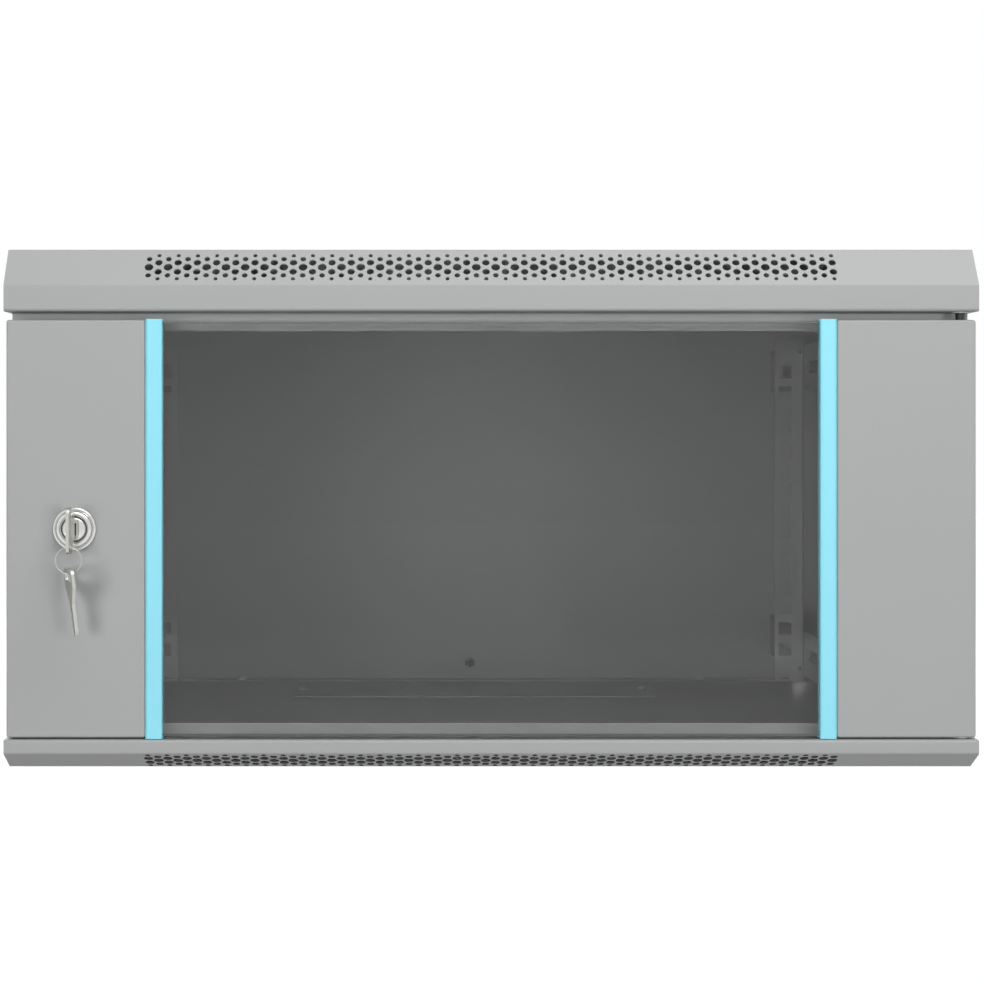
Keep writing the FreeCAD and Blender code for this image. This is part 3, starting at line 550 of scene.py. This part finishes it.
def by_nodes(piece, tree, values):
    """Run a node tree on a piece; its inputs are set by their sockets' identifiers."""
    modifier = piece.modifiers.new(tree.name, "NODES")
    modifier.node_group = tree
    for socket in tree.interface.items_tree:
        if socket.in_out == "INPUT" and socket.name in values:
            modifier[socket.identifier] = values[socket.name]
    return settle(piece)


perforations = perforation_tree()
print("perforation inputs:", sum(1 for s in perforations.interface.items_tree if s.in_out == "INPUT"))

# %% Drill both slopes
VENT_PITCH = 5.96
ROOF_VENTS, FLOOR_VENTS = (2.8, 2.35, 1.8, 1.35), (3.1, 2.9, 2.3, 1.6)


def drill(piece, slope, radii, way=1):
    """Perforate the slope between two (y, z) points; the radii run from the middle row to the edge rows."""
    (y0, z0), (y1, z1) = slope
    values = {"Pitch": way * VENT_PITCH * MM, "Middle": (0, (y0 + y1) / 2 * MM, (z0 + z1) / 2 * MM),
              "Tilt": (math.atan2(z1 - z0, y1 - y0), 0, 0), "Depth": 5 * SHEET * MM, "Coat": powder_coat}
    values.update({row + " hole": radius * MM
                   for row, radius in zip(("Middle", "Near", "Far", "Edge"), radii)})
    return by_nodes(piece, perforations, values)


drill(roof_sheet, slope_top, ROOF_VENTS)
drill(floor_sheet, slope_low, FLOOR_VENTS, way=-1)
print("roof faces:", len(roof_sheet.data.polygons), "floor faces:", len(floor_sheet.data.polygons))

# %% Screw holes, cable entries and end plates
FRAME_SCREWS = (-291.6, 291.6), (front + 77.0, -55.0)
BACK_SCREWS = (-190.0, 190.0), (-7.5,)
PLATE_SCREWS = (-136.0, 136.0), (-70.0,)
SCREW_HOLE, PLATE_SCREW_HOLE, REACH = 2.5, 2.0, 4
ENTRY_HALF, ENTRY_FRONT, ENTRY_REAR = 130, -100, -40


def frame_drills(level):
    """Round holes for the screws, and the cable entry at the rear."""
    low, high = level - REACH, level + REACH
    tools = []
    for (xs, ys), radius in ((FRAME_SCREWS, SCREW_HOLE), (BACK_SCREWS, SCREW_HOLE),
                             (PLATE_SCREWS, PLATE_SCREW_HOLE)):
        tools += [pulled("screw hole", circle((x, y), radius), along_z, low, high) for x in xs for y in ys]
    return tools + [box("cable entry", (-ENTRY_HALF, ENTRY_FRONT, low), (ENTRY_HALF, ENTRY_REAR, high))]


cut(roof_sheet, frame_drills(top))
cut(floor_sheet, frame_drills(-top))
roof_plates = end_plates("roof end", [(0, top), *slope_top, (front, band_top), (0, band_top)],
                         [0, 2, 2, 2, 0])
floor_plates = end_plates("floor end", [(0, -top), slope_low[1], slope_low[0], (front, ledge), (0, ledge)],
                          [0, 2, 2, 0.8, 0])
roof_cover = crisp(joined("roof_cover", [roof_sheet, *roof_plates]))
floor_cover = crisp(joined("floor_cover", [floor_sheet, *floor_plates]))
for cover, node in ((roof_cover, "top_frame"), (floor_cover, "bottom_frame")):
    dress(paint(cover, powder_coat, painted_vent_shade), ROOT, node)
print("covers:", [len(c.data.polygons) for c in (roof_cover, floor_cover)])

# %% Painted shade on the walls of the floor cover's vents
# The walls of the lower vents get the painted shade, so that the holes read dark.
VENT_HALF_WIDTH = 0.25
slope_way = direction(*slope_low)
slope_normal = Vector((0, -slope_way[1], slope_way[0]))


def in_a_vent(face):
    """Is a face part of a hole's wall in the lower slope?"""
    y, z = face.center.y / MM, face.center.z / MM
    on_slope = front < y < slope_low[1][0] and -top < z < slope_low[0][1] + SHEET
    across = abs(face.normal.dot(slope_normal)) < 0.2
    return on_slope and across and abs(face.center.x) < VENT_HALF_WIDTH


print("painted vent shade faces:", trim(floor_cover, in_a_vent))

# %% [markdown]
# ## The door
# Two steel stiles, each a shallow tray with softly rounded edges, hold a glass pane between two plastic
# strips. A stile is a box with its rear face taken off: bevels make the pressed edges and Solidify gives it
# its wall.

# %% Stiles
PRESSED_EDGE = 1.5


def tray(name, node):
    """A shallow pressed tray that is open at the rear."""
    low, high = node_box(node)
    low = [round(c, 1) for c in low]
    high = [round(c, 1) for c in high]
    piece = box(name, low, high)
    work = bmesh.new()
    work.from_mesh(piece.data)
    rear = [f for f in work.faces if f.normal.y > 0.9]
    bmesh.ops.delete(work, geom=rear, context="FACES_ONLY")
    pressed = [e for e in work.edges if len(e.link_faces) == 2]
    bmesh.ops.bevel(work, geom=pressed, offset=PRESSED_EDGE * MM, segments=5, profile=0.5, affect="EDGES")
    work.to_mesh(piece.data)
    work.free()
    wall = piece.modifiers.new("Wall", "SOLIDIFY")
    wall.thickness = SHEET * MM
    wall.offset = -1
    settle(piece)
    return crisp(piece)


for name, node in (("lock_stile", "door_lock_stile"), ("hinge_stile", "door_hinge_stile")):
    stile = dress(paint(tray(name, node), powder_coat), DOOR, node)
    print(name, "faces:", len(stile.data.polygons))

# %% Glass and strips
GROUND_EDGE, STRIP_GROOVE, GROOVE_PLAY = 0.9, 7.0, 0.1
glass_low, glass_high = node_box("door_glass")
pane = crisp(box("glass_pane", glass_low, glass_high, bevel=GROUND_EDGE, steps=2))
paint(pane, smoked_glass, ground_edge)
trim(pane, lambda face: abs(face.normal.y) < 0.99)
dress(pane, DOOR, "door_glass")


def strip(name, node, side):
    """A plastic channel over the edge of the glass, rounder on its front corners."""
    low, high = node_box(node)
    near, far = (low[0], high[0]) if side > 0 else (high[0], low[0])
    y0, y1 = round(low[1], 1), round(high[1], 1)
    groove = (round(glass_low[1], 1) - GROOVE_PLAY, round(glass_high[1], 1) + GROOVE_PLAY)
    deep = near + side * STRIP_GROOVE
    points = [(far, y0), (far, y1), (near, y1), (near, groove[1]), (deep, groove[1]), (deep, groove[0]),
              (near, groove[0]), (near, y0)]
    outline = rounded_loop(points, [2.6, 0.3, 0.3, 0, 0, 0, 0, 1.7])
    return crisp(pulled(name, outline, along_z, low[2], high[2]))


for name, node, side in (("left_strip", "edge_strip_left", -1), ("right_strip", "edge_strip_right", 1)):
    dress(paint(strip(name, node, side), blue_plastic), DOOR, node)
print("pane:", [round(c, 1) for c in glass_low], [round(c, 1) for c in glass_high])

# %% [markdown]
# ## The lock
# A cam lock has a domed chrome rosette in front and a threaded barrel with two flats behind it. Inside turns
# the plug, which carries the keyway and, on its square tail, the cam. Round pieces are turned from a profile,
# and the flats and the keyway are cut afterwards.

# %% Rosette and barrel
lock_low, lock_high = node_box("lock_plug")
LOCK_X = round((lock_low[0] + lock_high[0]) / 2, 1)
LOCK_Z = round((lock_low[2] + lock_high[2]) / 2, 1)
THREAD_START, THREAD_PITCH, CREST, VALLEY = -446.5, 1.5, 9.45, 9.1
BORE, FLAT_X, TAIL = 6.05, 8, 3
lock_axis = (LOCK_X, LOCK_Z)
rosette_profile = [(BORE, -447.0), (13.5, -447.0), (13.5, -447.7), (13.25, -448.3), (12.8, -448.7),
                   (12.1, -448.85), (11.75, -448.5), (11.4, -448.8), (11.2, -449.5), (10.8, -450.2),
                   (10.2, -450.7), (9.5, -451.0), (9.0, -451.0), (8.5, -450.5), (8.0, -449.7),
                   (7.75, -449.0), (7.75, -448.0), (BORE, -448.0)]
rosette = turned("lock_rosette", rosette_profile, lock_axis, 72)
barrel_end = node_box("lock_housing")[1][1]
thread = [(BORE, barrel_end), (BORE, -446.9)]
for turn in range(int((barrel_end - THREAD_START) / THREAD_PITCH)):
    start = THREAD_START + turn * THREAD_PITCH
    thread += [(CREST, start), (CREST, start + 0.4), (VALLEY, start + 0.75), (VALLEY, start + 1.1)]
thread.append((VALLEY, barrel_end))
barrel = turned("lock_barrel", thread, lock_axis, 48)
flats = box("flats", (LOCK_X - FLAT_X, -460, LOCK_Z - 20), (LOCK_X + FLAT_X, -420, LOCK_Z + 20))
cut(barrel, [flats], "INTERSECT")
housing = paint(crisp(joined("lock_housing_fine", [rosette, barrel])), chrome)
dress(housing, DOOR, "lock_housing")
print("lock housing faces:", len(housing.data.polygons))

# %% Plug with its keyway
KEYWAY_X, KEYWAY_Z, KEYWAY_END = 1.5, 3.95, -433.2
cam_low, cam_high = node_box("lock_cam")
plug_profile = [(0, -450.6), (6.2, -450.6), (6.8, -450.3), (7.3, -449.7), (7.6, -449.0), (7.7, -448.6),
                (7.7, -448.0), (6.0, -448.0), (6.0, cam_low[1]), (0, cam_low[1])]
plug = turned("lock_plug_fine", plug_profile, lock_axis, 64)
cut(plug, [box("keyway", (LOCK_X - KEYWAY_X, -452, LOCK_Z - KEYWAY_Z),
               (LOCK_X + KEYWAY_X, KEYWAY_END, LOCK_Z + KEYWAY_Z))])
tail = box("tail", (LOCK_X - TAIL, cam_low[1], LOCK_Z - TAIL), (LOCK_X + TAIL, cam_high[1], LOCK_Z + TAIL))
plug = paint(crisp(joined("lock_plug_fine", [plug, tail])), chrome, painted_keyway_shade)


def in_the_keyway(face):
    """Is a face part of the keyway's walls?"""
    across, up = face.center.x / MM - LOCK_X, face.center.z / MM - LOCK_Z
    beside = abs(abs(across) - KEYWAY_X) < 0.01 or abs(abs(up) - KEYWAY_Z) < 0.01
    return (abs(face.normal.y) < 0.1 and face.center.y / MM < KEYWAY_END and beside
            and math.hypot(across, up) < 5)


# The keyway's walls get the painted shade.
print("keyway faces:", trim(plug, in_the_keyway))
dress(plug, CORE, "lock_plug")
print("plug faces:", len(plug.data.polygons))

# %% Cam
def standing(y):
    """Turn a plate drawn flat in (x, z) so that it stands across the depth at y."""
    return Matrix.Translation((0, y * MM, 0)) @ Matrix.Rotation(math.radians(90), 4, "X")


SQUARE, CAM_SHEET = 3.05, 2.0
cam_outline = rounded_loop(corners_of((cam_low[0], cam_low[2]), (cam_high[0], cam_high[2])),
                           [5, 5, 7.5, 7.5], 8)
square = corners_of((LOCK_X - SQUARE, LOCK_Z - SQUARE), (LOCK_X + SQUARE, LOCK_Z + SQUARE))
cam = plate("cam_fine", [cam_outline, square], CAM_SHEET, 0.15, standing((cam_low[1] + cam_high[1]) / 2))
dress(paint(crisp(cam), zinc), CORE, "lock_cam")
print("cam box:", [round(c, 1) for c in cam_low], [round(c, 1) for c in cam_high])

# %% [markdown]
# ## Keys and ring
# Both keys are stamped from one sheet, so they share one outline: a toothed blade, a shoulder and a slotted
# bow. The ring is a split ring, two turns of thin wire. A path with a small section follows its rule best, so
# Geometry Nodes pull a circle along a spiral.

# %% Key outline
KEY_LENGTH, KEY_SHEET, KEY_EDGE = 41.0, 2.0, 0.2
BLADE, BOW = 3.75, 14.2
TIP, TOOTH_STEP, TOOTH_DEPTHS = 2.5, 3.3, (1.4, 0.7, 1.7, 1.0)


def key_outlines():
    """The key's outline and its slot; it stands on its tip at (0, 0)."""
    edge = [(-BLADE, TIP), (-1.25, 0), (1.25, 0), (BLADE, TIP)]
    teeth = []
    for index, depth in enumerate(TOOTH_DEPTHS):
        level = TIP + (index + 1) * TOOTH_STEP
        teeth += [(BLADE, level - depth), (BLADE - depth, level - 0.25), (BLADE - depth, level + 0.25),
                  (BLADE, level + depth)]
    bow = [(BLADE, 19.0), (BOW, 30.0), (BOW, KEY_LENGTH), (-BOW, KEY_LENGTH), (-BOW, 30.0), (-BLADE, 19.0)]
    radii = [0.4, 0.3, 0.3, 0.4] + [0] * len(teeth) + [2, 4, 5, 5, 4, 2]
    slot = rounded_loop(corners_of((-11.3, 32.5), (11.3, 38.5)), [2.9] * 4, 8)
    return [rounded_loop(edge + teeth + bow, radii, 6), slot[::-1]]


def key_plate(name, turn):
    """One stamped key; its flat faces look along x before the turn."""
    upright = Matrix.Rotation(math.radians(90), 4, "Z") @ Matrix.Rotation(math.radians(90), 4, "X")
    return paint(crisp(plate(name, key_outlines(), KEY_SHEET, KEY_EDGE, turn @ upright)), nickel)


key_low, key_high = node_box("key")
lay_down = Matrix.Translation((LOCK_X * MM, key_high[1] * MM, LOCK_Z * MM))
lay_down = lay_down @ Matrix.Rotation(math.radians(90), 4, "X")
dress(key_plate("key_in_lock", lay_down), "key", "key")
print("key box:", [round(c, 1) for c in key_low], [round(c, 1) for c in key_high])

# %% Spare key
RING_FOOT, SLOT_PLAY, SLOT_TOP = -38.2, 1.1, 38.5
SWING, TWIST = -7.0, 19.0
ring_low, ring_high = node_box("key_ring")
RING_Y = (ring_low[1] + ring_high[1]) / 2
hang = Matrix.Translation((LOCK_X * MM, RING_Y * MM, (RING_FOOT + SLOT_PLAY) * MM))
hang = hang @ Matrix.Rotation(math.radians(SWING), 4, "Y") @ Matrix.Rotation(math.radians(TWIST), 4, "Z")
hang = hang @ Matrix.Translation((0, 0, -SLOT_TOP * MM))
spare = dress(key_plate("spare_key_fine", hang), "spare_key", "spare_key")
print("spare key faces:", len(spare.data.polygons))

# %% Split ring by Geometry Nodes
def ring_tree():
    """A thin wire pulled along a spiral."""
    inputs = [("Radius", FLOAT, 0.008), ("Turns", FLOAT, 2.0), ("Rise", FLOAT, 0.0006),
              ("Wire", FLOAT, 0.0003), ("Middle", VECTOR, (0, 0, 0)), ("Metal", MATERIAL, None)]
    tree, given, result = new_tree("Split ring", "GeometryNodeTree", inputs, [("Ring", SHAPE)])
    spiral = add(tree, "GeometryNodeCurveSpiral", Resolution=40, Rotations=given["Turns"],
                 Start_Radius=given["Radius"], End_Radius=given["Radius"], Height=given["Rise"])
    section = add(tree, "GeometryNodeCurvePrimitiveCircle", Resolution=10, Radius=given["Wire"])
    wire = add(tree, "GeometryNodeCurveToMesh", Curve=spiral.outputs["Curve"],
               Profile_Curve=section.outputs["Curve"], Fill_Caps=True)
    stand = add(tree, "GeometryNodeTransform", Geometry=wire.outputs["Mesh"], Translation=given["Middle"],
                Rotation=(math.radians(90), 0, 0))
    return close_tree(tree, stand.outputs["Geometry"], given["Metal"], result["Ring"])


WIRE, RING_RADIUS, RING_Z = 0.3, 8.0, -30.2
ring = new_object("split_ring", bpy.data.meshes.new("split_ring"))
by_nodes(ring, ring_tree(), {"Radius": RING_RADIUS * MM, "Turns": 2.0, "Rise": 2 * WIRE * MM,
                             "Wire": WIRE * MM,
                             "Middle": (LOCK_X * MM, (RING_Y + WIRE) * MM, RING_Z * MM), "Metal": nickel})
ring.data = outward(ring.data, 1e-7)
ring.data.shade_smooth()
dress(ring, "key_ring", "key_ring")
print("ring faces:", len(ring.data.polygons))

# %% [markdown]
# ## Screws, bolts and nuts
# The small fasteners repeat all over the cabinet. One screw is turned and its cross recess cut, and a
# Geometry Nodes tree sets it on marked points, each turned along the way that its point carries.

# %% Fastener shapes
def pan_screw(name, shank, head, height, length):
    """A pan-head screw with a cross recess; its head sits on y = 0 and its shank runs to +y.

    The dome and the recess are shares of the head's width and height.
    """
    profile = [(0, length), (shank / 2 - 0.4, length), (shank / 2, length - 0.5), (shank / 2, 0),
               (head / 2, 0), (head / 2, -height * 0.35), (head * 0.42, -height * 0.75),
               (head * 0.28, -height), (0, -height)]
    piece = turned(name, profile, (0, 0), 20)
    arm, half = head * 0.27, head * 0.055
    recess = [box("recess", (-arm, -height - 1, -half), (arm, -height * 0.35, half)),
              box("recess", (-half, -height - 1, -arm), (half, -height * 0.35, arm))]
    cut(piece, recess)
    return crisp(piece)


def hex_nut(name, flats, height, bore):
    """A hexagon nut that stands on y = 0 and reaches +y."""
    outlines = [circle((0, 0), flats / math.sqrt(3), 6), circle((0, 0), bore / 2)[::-1]]
    return crisp(plate(name, outlines, height, 0.3, standing(height / 2)))


def fastener_tree():
    """One shape on every point, turned along the point's way."""
    inputs = [("Points", SHAPE, None), ("Shape", "NodeSocketObject", None), ("Plate", MATERIAL, None)]
    tree, given, result = new_tree("Fasteners", "GeometryNodeTree", inputs, [("Fasteners", SHAPE)])
    way = tree.nodes.new("GeometryNodeInputNamedAttribute")
    way.data_type = "FLOAT_VECTOR"
    way.inputs["Name"].default_value = "way"
    align = add(tree, "FunctionNodeAlignRotationToVector", Vector=way.outputs["Attribute"])
    align.axis = "Y"
    shape = add(tree, "GeometryNodeObjectInfo", Object=given["Shape"])
    place = add(tree, "GeometryNodeInstanceOnPoints", Points=given["Points"],
                Instance=shape.outputs["Geometry"], Rotation=align.outputs["Rotation"])
    return close_tree(tree, place.outputs["Instances"], given["Plate"], result["Fasteners"])


fasteners = fastener_tree()


def set_fasteners(name, node, shape, places):
    """Put a shape on (x, y, z, way) places and let it stand for a solid's group."""
    mesh = mesh_from(name, [place[:3] for place in places], [])
    ways = mesh.attributes.new("way", "FLOAT_VECTOR", "POINT")
    for item, place in zip(ways.data, places):
        item.vector = place[3]
    piece = by_nodes(new_object(name, mesh), fasteners, {"Shape": shape, "Plate": zinc})
    bpy.data.objects.remove(shape)
    return dress(piece, ROOT, node)


print("fastener tree is ready")

# %% Places of the fasteners
UP, DOWN, OUT, IN = (0, 0, 1), (0, 0, -1), (1, 0, 0), (-1, 0, 0)
FOLD_TOP, PLATE_TOP, WALL_X = 158.85, 159.05, 296.1
BOLT_X, NUT_X, BOLT_Y, BOLT_Z = 245.5, 248.5, (-353.75, -153.75), (-119.05, 95.5)
BRACKET_Y, BRACKET_Z = (-376.0 + 55.0, -25.0 - 55.0), (-142.8, 119.25)


def across_roof_and_floor(xs, ys, level):
    """The same places in the roof and in the floor, each shank outwards."""
    return [(x, y, way[2] * level, way) for x in xs for y in ys for way in (UP, DOWN)]


def on_both_sides(x, ys, zs):
    """The same places on the right and on the left, each shank outwards."""
    return [(way[0] * x, y, z, way) for way in (OUT, IN) for y in ys for z in zs]


groups = [
    ("frame_screws_fine", "frame_screws", pan_screw("screw", 5.0, 9.0, 2.4, 2.4),
     across_roof_and_floor(*FRAME_SCREWS, FOLD_TOP)),
    ("back_screws_fine", "back_panel_screws", pan_screw("screw", 5.0, 9.0, 2.4, 2.2),
     across_roof_and_floor(*BACK_SCREWS, FOLD_TOP)),
    ("bracket_screws_fine", "bracket_screws", pan_screw("screw", 5.0, 9.0, 2.4, 2.5),
     on_both_sides(WALL_X, BRACKET_Y, BRACKET_Z)),
    ("plate_screws_fine", "cable_plate_screws", pan_screw("screw", 4.0, 8.0, 2.0, 2.2),
     across_roof_and_floor(*PLATE_SCREWS, PLATE_TOP)),
    ("rail_bolts_fine", "rail_bolts", pan_screw("bolt", 6.0, 13.0, 3.3, 10.0),
     on_both_sides(BOLT_X, BOLT_Y, BOLT_Z)),
    ("rail_nuts_fine", "rail_nuts", hex_nut("nut", 10.0, 5.0, 6.0), on_both_sides(NUT_X, BOLT_Y, BOLT_Z)),
]
for name, node, shape, places in groups:
    set_fasteners(name, node, shape, places)
    print(node, len(places), "pieces from", [round(c, 1) for c in node_box(node)[0]])

# %% [markdown]
# ## Cable entry plates
# A plate closes each cable entry from inside. It is a flat outline with round corners and two screw holes,
# with its upper and lower edges broken by a fine bevel.

# %% Two plates
PLATE_HOLE, PLATE_CORNER, PLATE_EDGE = 2.25, 5.0, 0.4
for node in ("top_cable_plate", "bottom_cable_plate"):
    low, high = node_box(node)
    holes = [circle((x, PLATE_SCREWS[1][0]), PLATE_HOLE) for x in PLATE_SCREWS[0]]
    outlines = [rounded_loop(corners_of(low, high), [PLATE_CORNER] * 4, 6), *holes]
    lift = Matrix.Translation((0, 0, (low[2] + high[2]) / 2 * MM))
    lid = crisp(plate(node + "_fine", outlines, high[2] - low[2], PLATE_EDGE, lift))
    dress(paint(lid, powder_coat), ROOT, node)
    print(node, "faces:", len(lid.data.polygons))

# %% [markdown]
# ## Equipment rails
# Each rail is an angle of sheet steel. Square holes run up its face, three to a rack unit of 44.45 mm: the
# steps are 15.875 mm inside a unit and 12.7 mm from one unit to the next. The rule is short, so nodes draw
# it: a line of units, a line of three holes on each, and a square punch on every point.

# %% Square punch by Geometry Nodes
def rail_tree():
    """Punch square holes up a rail's face, three to a rack unit."""
    inputs = [("Rail", SHAPE, None), ("Units", COUNT, 5), ("Unit", VECTOR, (0, 0, 0.04445)),
              ("Step", VECTOR, (0, 0, 0.015875)), ("First", VECTOR, (0, 0, 0)),
              ("Punch", VECTOR, (0.0095, 0.006, 0.0095)), ("Coat", MATERIAL, None)]
    tree, given, result = new_tree("Rail holes", "GeometryNodeTree", inputs, [("Rail", SHAPE)])
    units = add(tree, "GeometryNodeMeshLine", Count=given["Units"], Start_Location=given["First"],
                Offset=given["Unit"])
    three = add(tree, "GeometryNodeMeshLine", Count=3, Offset=given["Step"])
    points = spread(tree, units.outputs["Mesh"], three.outputs["Mesh"])
    cube = add(tree, "GeometryNodeMeshCube", Size=given["Punch"])
    punches = spread(tree, points, cube.outputs["Mesh"])
    return close_tree(tree, minus(tree, given["Rail"], punches), given["Coat"], result["Rail"])


rail_holes = rail_tree()
print("rail tree nodes:", len(rail_holes.nodes))

# %% Four rails
RACK_UNITS, RACK_BOTTOM = 5, -top + 38.0
FIRST_HOLE, HOLE_X = 6.35, 232.55
FACE_X, WEB_X, WEB_DEPTH, RAIL_SHEET = 225.0, 247.0, 25.0, 1.5
SLOT_IN, SLOT_LENGTH, SLOT_HEIGHT = 3.4, 8.3, 4.5
CORNER_IN, CORNER_X, CORNER_HOLE = 9.4, 244.0, 1.5
BOLT_IN, BOLT_DEPTH, BOLT_HOLE = 21.4, 13.25, 3.0


def oblong(centre, length, height, low, high):
    """A slot cutter with round ends, lying along x."""
    half, radius = length / 2, height / 2 - 0.01
    corners = corners_of((centre[0] - half, centre[1] - height / 2),
                         (centre[0] + half, centre[1] + height / 2))
    return pulled("slot", rounded_loop(corners, [radius] * 4, 6), along_y, low, high)


def rail(name, node, side):
    """An angle rail with its square holes, end slots, small corner holes and bolt holes."""
    low, high = node_box(node)
    y0 = round(low[1], 2)
    line = [(side * FACE_X, y0), (side * WEB_X, y0), (side * WEB_X, y0 + WEB_DEPTH)]
    outline = rounded(line, [2.0]) + rounded(offset(line, side * RAIL_SHEET), [0.5])[::-1]
    piece = pulled(name, outline, along_z, low[2], high[2])
    first = (side * HOLE_X * MM, (y0 + RAIL_SHEET / 2) * MM, (RACK_BOTTOM + FIRST_HOLE) * MM)
    by_nodes(piece, rail_holes, {"Units": RACK_UNITS, "First": first, "Coat": powder_coat})
    tools = []
    for end, away in ((low[2], 1), (high[2], -1)):
        slot = (side * HOLE_X, end + away * SLOT_IN)
        tools.append(oblong(slot, SLOT_LENGTH, SLOT_HEIGHT, y0 - 2, y0 + 4))
        corner = circle((side * CORNER_X, end + away * CORNER_IN), CORNER_HOLE, 12)
        tools.append(pulled("corner hole", corner, along_y, y0 - 2, y0 + 4))
        bolt = circle((y0 + BOLT_DEPTH, end + away * BOLT_IN), BOLT_HOLE, 12)
        tools.append(pulled("bolt hole", bolt, along_x, *sorted((side * 243.0, side * 250.0))))
    return crisp(cut(piece, tools))


for place in ("front", "rear"):
    for label, side in (("left", -1), ("right", 1)):
        node = place + "_rail_" + label
        piece = dress(rail(node + "_fine", node, side), ROOT, node)
        print(node, "faces:", len(piece.data.polygons))

# %% [markdown]
# ## Finishes on the solids that stay
# Panels, brackets, hinge pins, bushes and the smallest fasteners are plain enough as they are. They keep
# their meshes and only get a material, which reads object coordinates and so runs on from piece to piece.

# %% Paint the rest
coats = {
    powder_coat: ["left_side_panel", "right_side_panel", "back_panel", "lower_bracket_left",
                  "lower_bracket_right", "upper_bracket_left", "upper_bracket_right"],
    zinc: ["lock_nut", "cam_screw"],
    black_zinc: ["earth_stud", "earth_nut", "upper_hinge_pin", "lower_hinge_pin"],
    nylon: ["upper_hinge_bush", "lower_hinge_bush"],
}
for material, names in coats.items():
    for name in names:
        paint(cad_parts[name], material)
    print(material.name, "on", len(names), "solids")

# %% [markdown]
# ## Stage, light and camera
# The cabinet hangs on a wall, so the floor lies well below it. The camera, mirrors and glass see a white
# surround, while the object is lit by a dim even sky and six large soft lamps. Two lamps stand in front, and
# metal and glass don't mirror them; one hangs above, one stands on each side and one behind.

# %% Floor and surround
def whole_view(tree):
    """One for a ray from the camera, a mirror or a pane of glass that has met nothing matt on its way."""
    rays = add(tree, "ShaderNodeLightPath").outputs
    seen = maths(tree, "MAXIMUM", rays["Is Camera Ray"], rays["Is Glossy Ray"])
    seen = maths(tree, "MAXIMUM", seen, rays["Is Transmission Ray"])
    return maths(tree, "MULTIPLY", seen, maths(tree, "LESS_THAN", rays["Diffuse Depth"], 0.5))


def floor_material():
    """Pale floor that keeps the shadow, reads as white where nothing shades it and is clear from below."""
    material = bpy.data.materials.new("Floor")
    material.use_nodes = True
    tree = material.node_tree
    shader = tree.nodes["Principled BSDF"]
    for label, value in (("Base Color", (0.26, 0.26, 0.26, 1)), ("Roughness", 0.9),
                         ("Specular IOR Level", 0.0), ("Emission Color", (1, 1, 1, 1))):
        shader.inputs[label].default_value = value
    away = add(tree, "ShaderNodeTexCoord").outputs["Object"]
    reach = add(tree, "ShaderNodeVectorMath", away, operation="LENGTH").outputs["Value"]
    level = add(tree, "ShaderNodeMapRange", Value=reach, From_Min=0.7, From_Max=2.4, To_Min=0.9, To_Max=1.0)
    glow = maths(tree, "MULTIPLY", whole_view(tree), level.outputs["Result"])
    tree.links.new(glow, shader.inputs["Emission Strength"])
    below = add(tree, "ShaderNodeNewGeometry").outputs["Backfacing"]
    clear = add(tree, "ShaderNodeBsdfTransparent").outputs["BSDF"]
    mix = add(tree, "ShaderNodeMixShader", below, shader.outputs["BSDF"], clear)
    tree.links.new(mix.outputs["Shader"], tree.nodes["Material Output"].inputs["Surface"])
    return material


FLOOR_Z, FLOOR_HALF = -410.0, 9000
corners = [(x, y, FLOOR_Z) for x, y in corners_of((-FLOOR_HALF, -FLOOR_HALF), (FLOOR_HALF, FLOOR_HALF))]
floor = paint(new_object("floor", mesh_from("floor", corners, [[0, 1, 2, 3]])), floor_material())

world = bpy.data.worlds.new("Surround")
world.use_nodes = True
bpy.context.scene.world = world
sky = world.node_tree.nodes["Background"]
sky.inputs["Color"].default_value = (1, 1, 1, 1)
level = add(world.node_tree, "ShaderNodeMapRange", Value=whole_view(world.node_tree), To_Min=0.05, To_Max=1.0)
world.node_tree.links.new(level.outputs["Result"], sky.inputs["Strength"])
print("floor at", FLOOR_Z, "mm")

# %% Lamps
def lamp(name, place, aim, size, power, mirrored=True):
    """A large soft lamp that looks at a point; metal and glass mirror it only if mirrored."""
    light = bpy.data.lights.new(name, "AREA")
    light.shape = "RECTANGLE"
    light.size, light.size_y = size
    light.energy = power
    body = bpy.data.objects.new(name, light)
    bpy.context.scene.collection.objects.link(body)
    body.location = place
    body.rotation_euler = (Vector(aim) - Vector(place)).to_track_quat("-Z", "Y").to_euler()
    body.visible_camera = False
    body.visible_glossy = mirrored
    return body


MIDDLE = (0, -0.25, 0)
lamp("front left lamp", (-1.35, -3.4, 0.0), MIDDLE, (1.0, 1.2), 44, mirrored=False)
lamp("front right lamp", (1.35, -3.4, 0.0), MIDDLE, (1.0, 1.2), 37, mirrored=False)
lamp("near top lamp", (0.25, -1.1, 1.15), MIDDLE, (1.3, 0.6), 10.5)
lamp("left lamp", (-2.6, 0.35, 1.2), MIDDLE, (1.8, 1.8), 14)
lamp("right lamp", (2.6, 0.35, 1.2), MIDDLE, (1.8, 1.8), 14)
lamp("rear lamp", (0.0, 3.0, 1.0), (0, -0.2, 0), (2.6, 1.8), 45)

# %% Camera
scene = bpy.context.scene
scene.view_settings.view_transform = "Standard"
lens = bpy.data.cameras.new("camera")
lens.lens = 74.2
lens.sensor_width = 36.0
lens.shift_x = 0.083
lens.shift_y = -0.0654
camera = bpy.data.objects.new("camera", lens)
scene.collection.objects.link(camera)
camera.location = (-0.0498, -1.697, 0.0504)
camera.rotation_euler = (math.radians(90), 0, 0)
scene.camera = camera
print("camera lens", lens.lens, "mm at", tuple(round(c, 3) for c in camera.location))
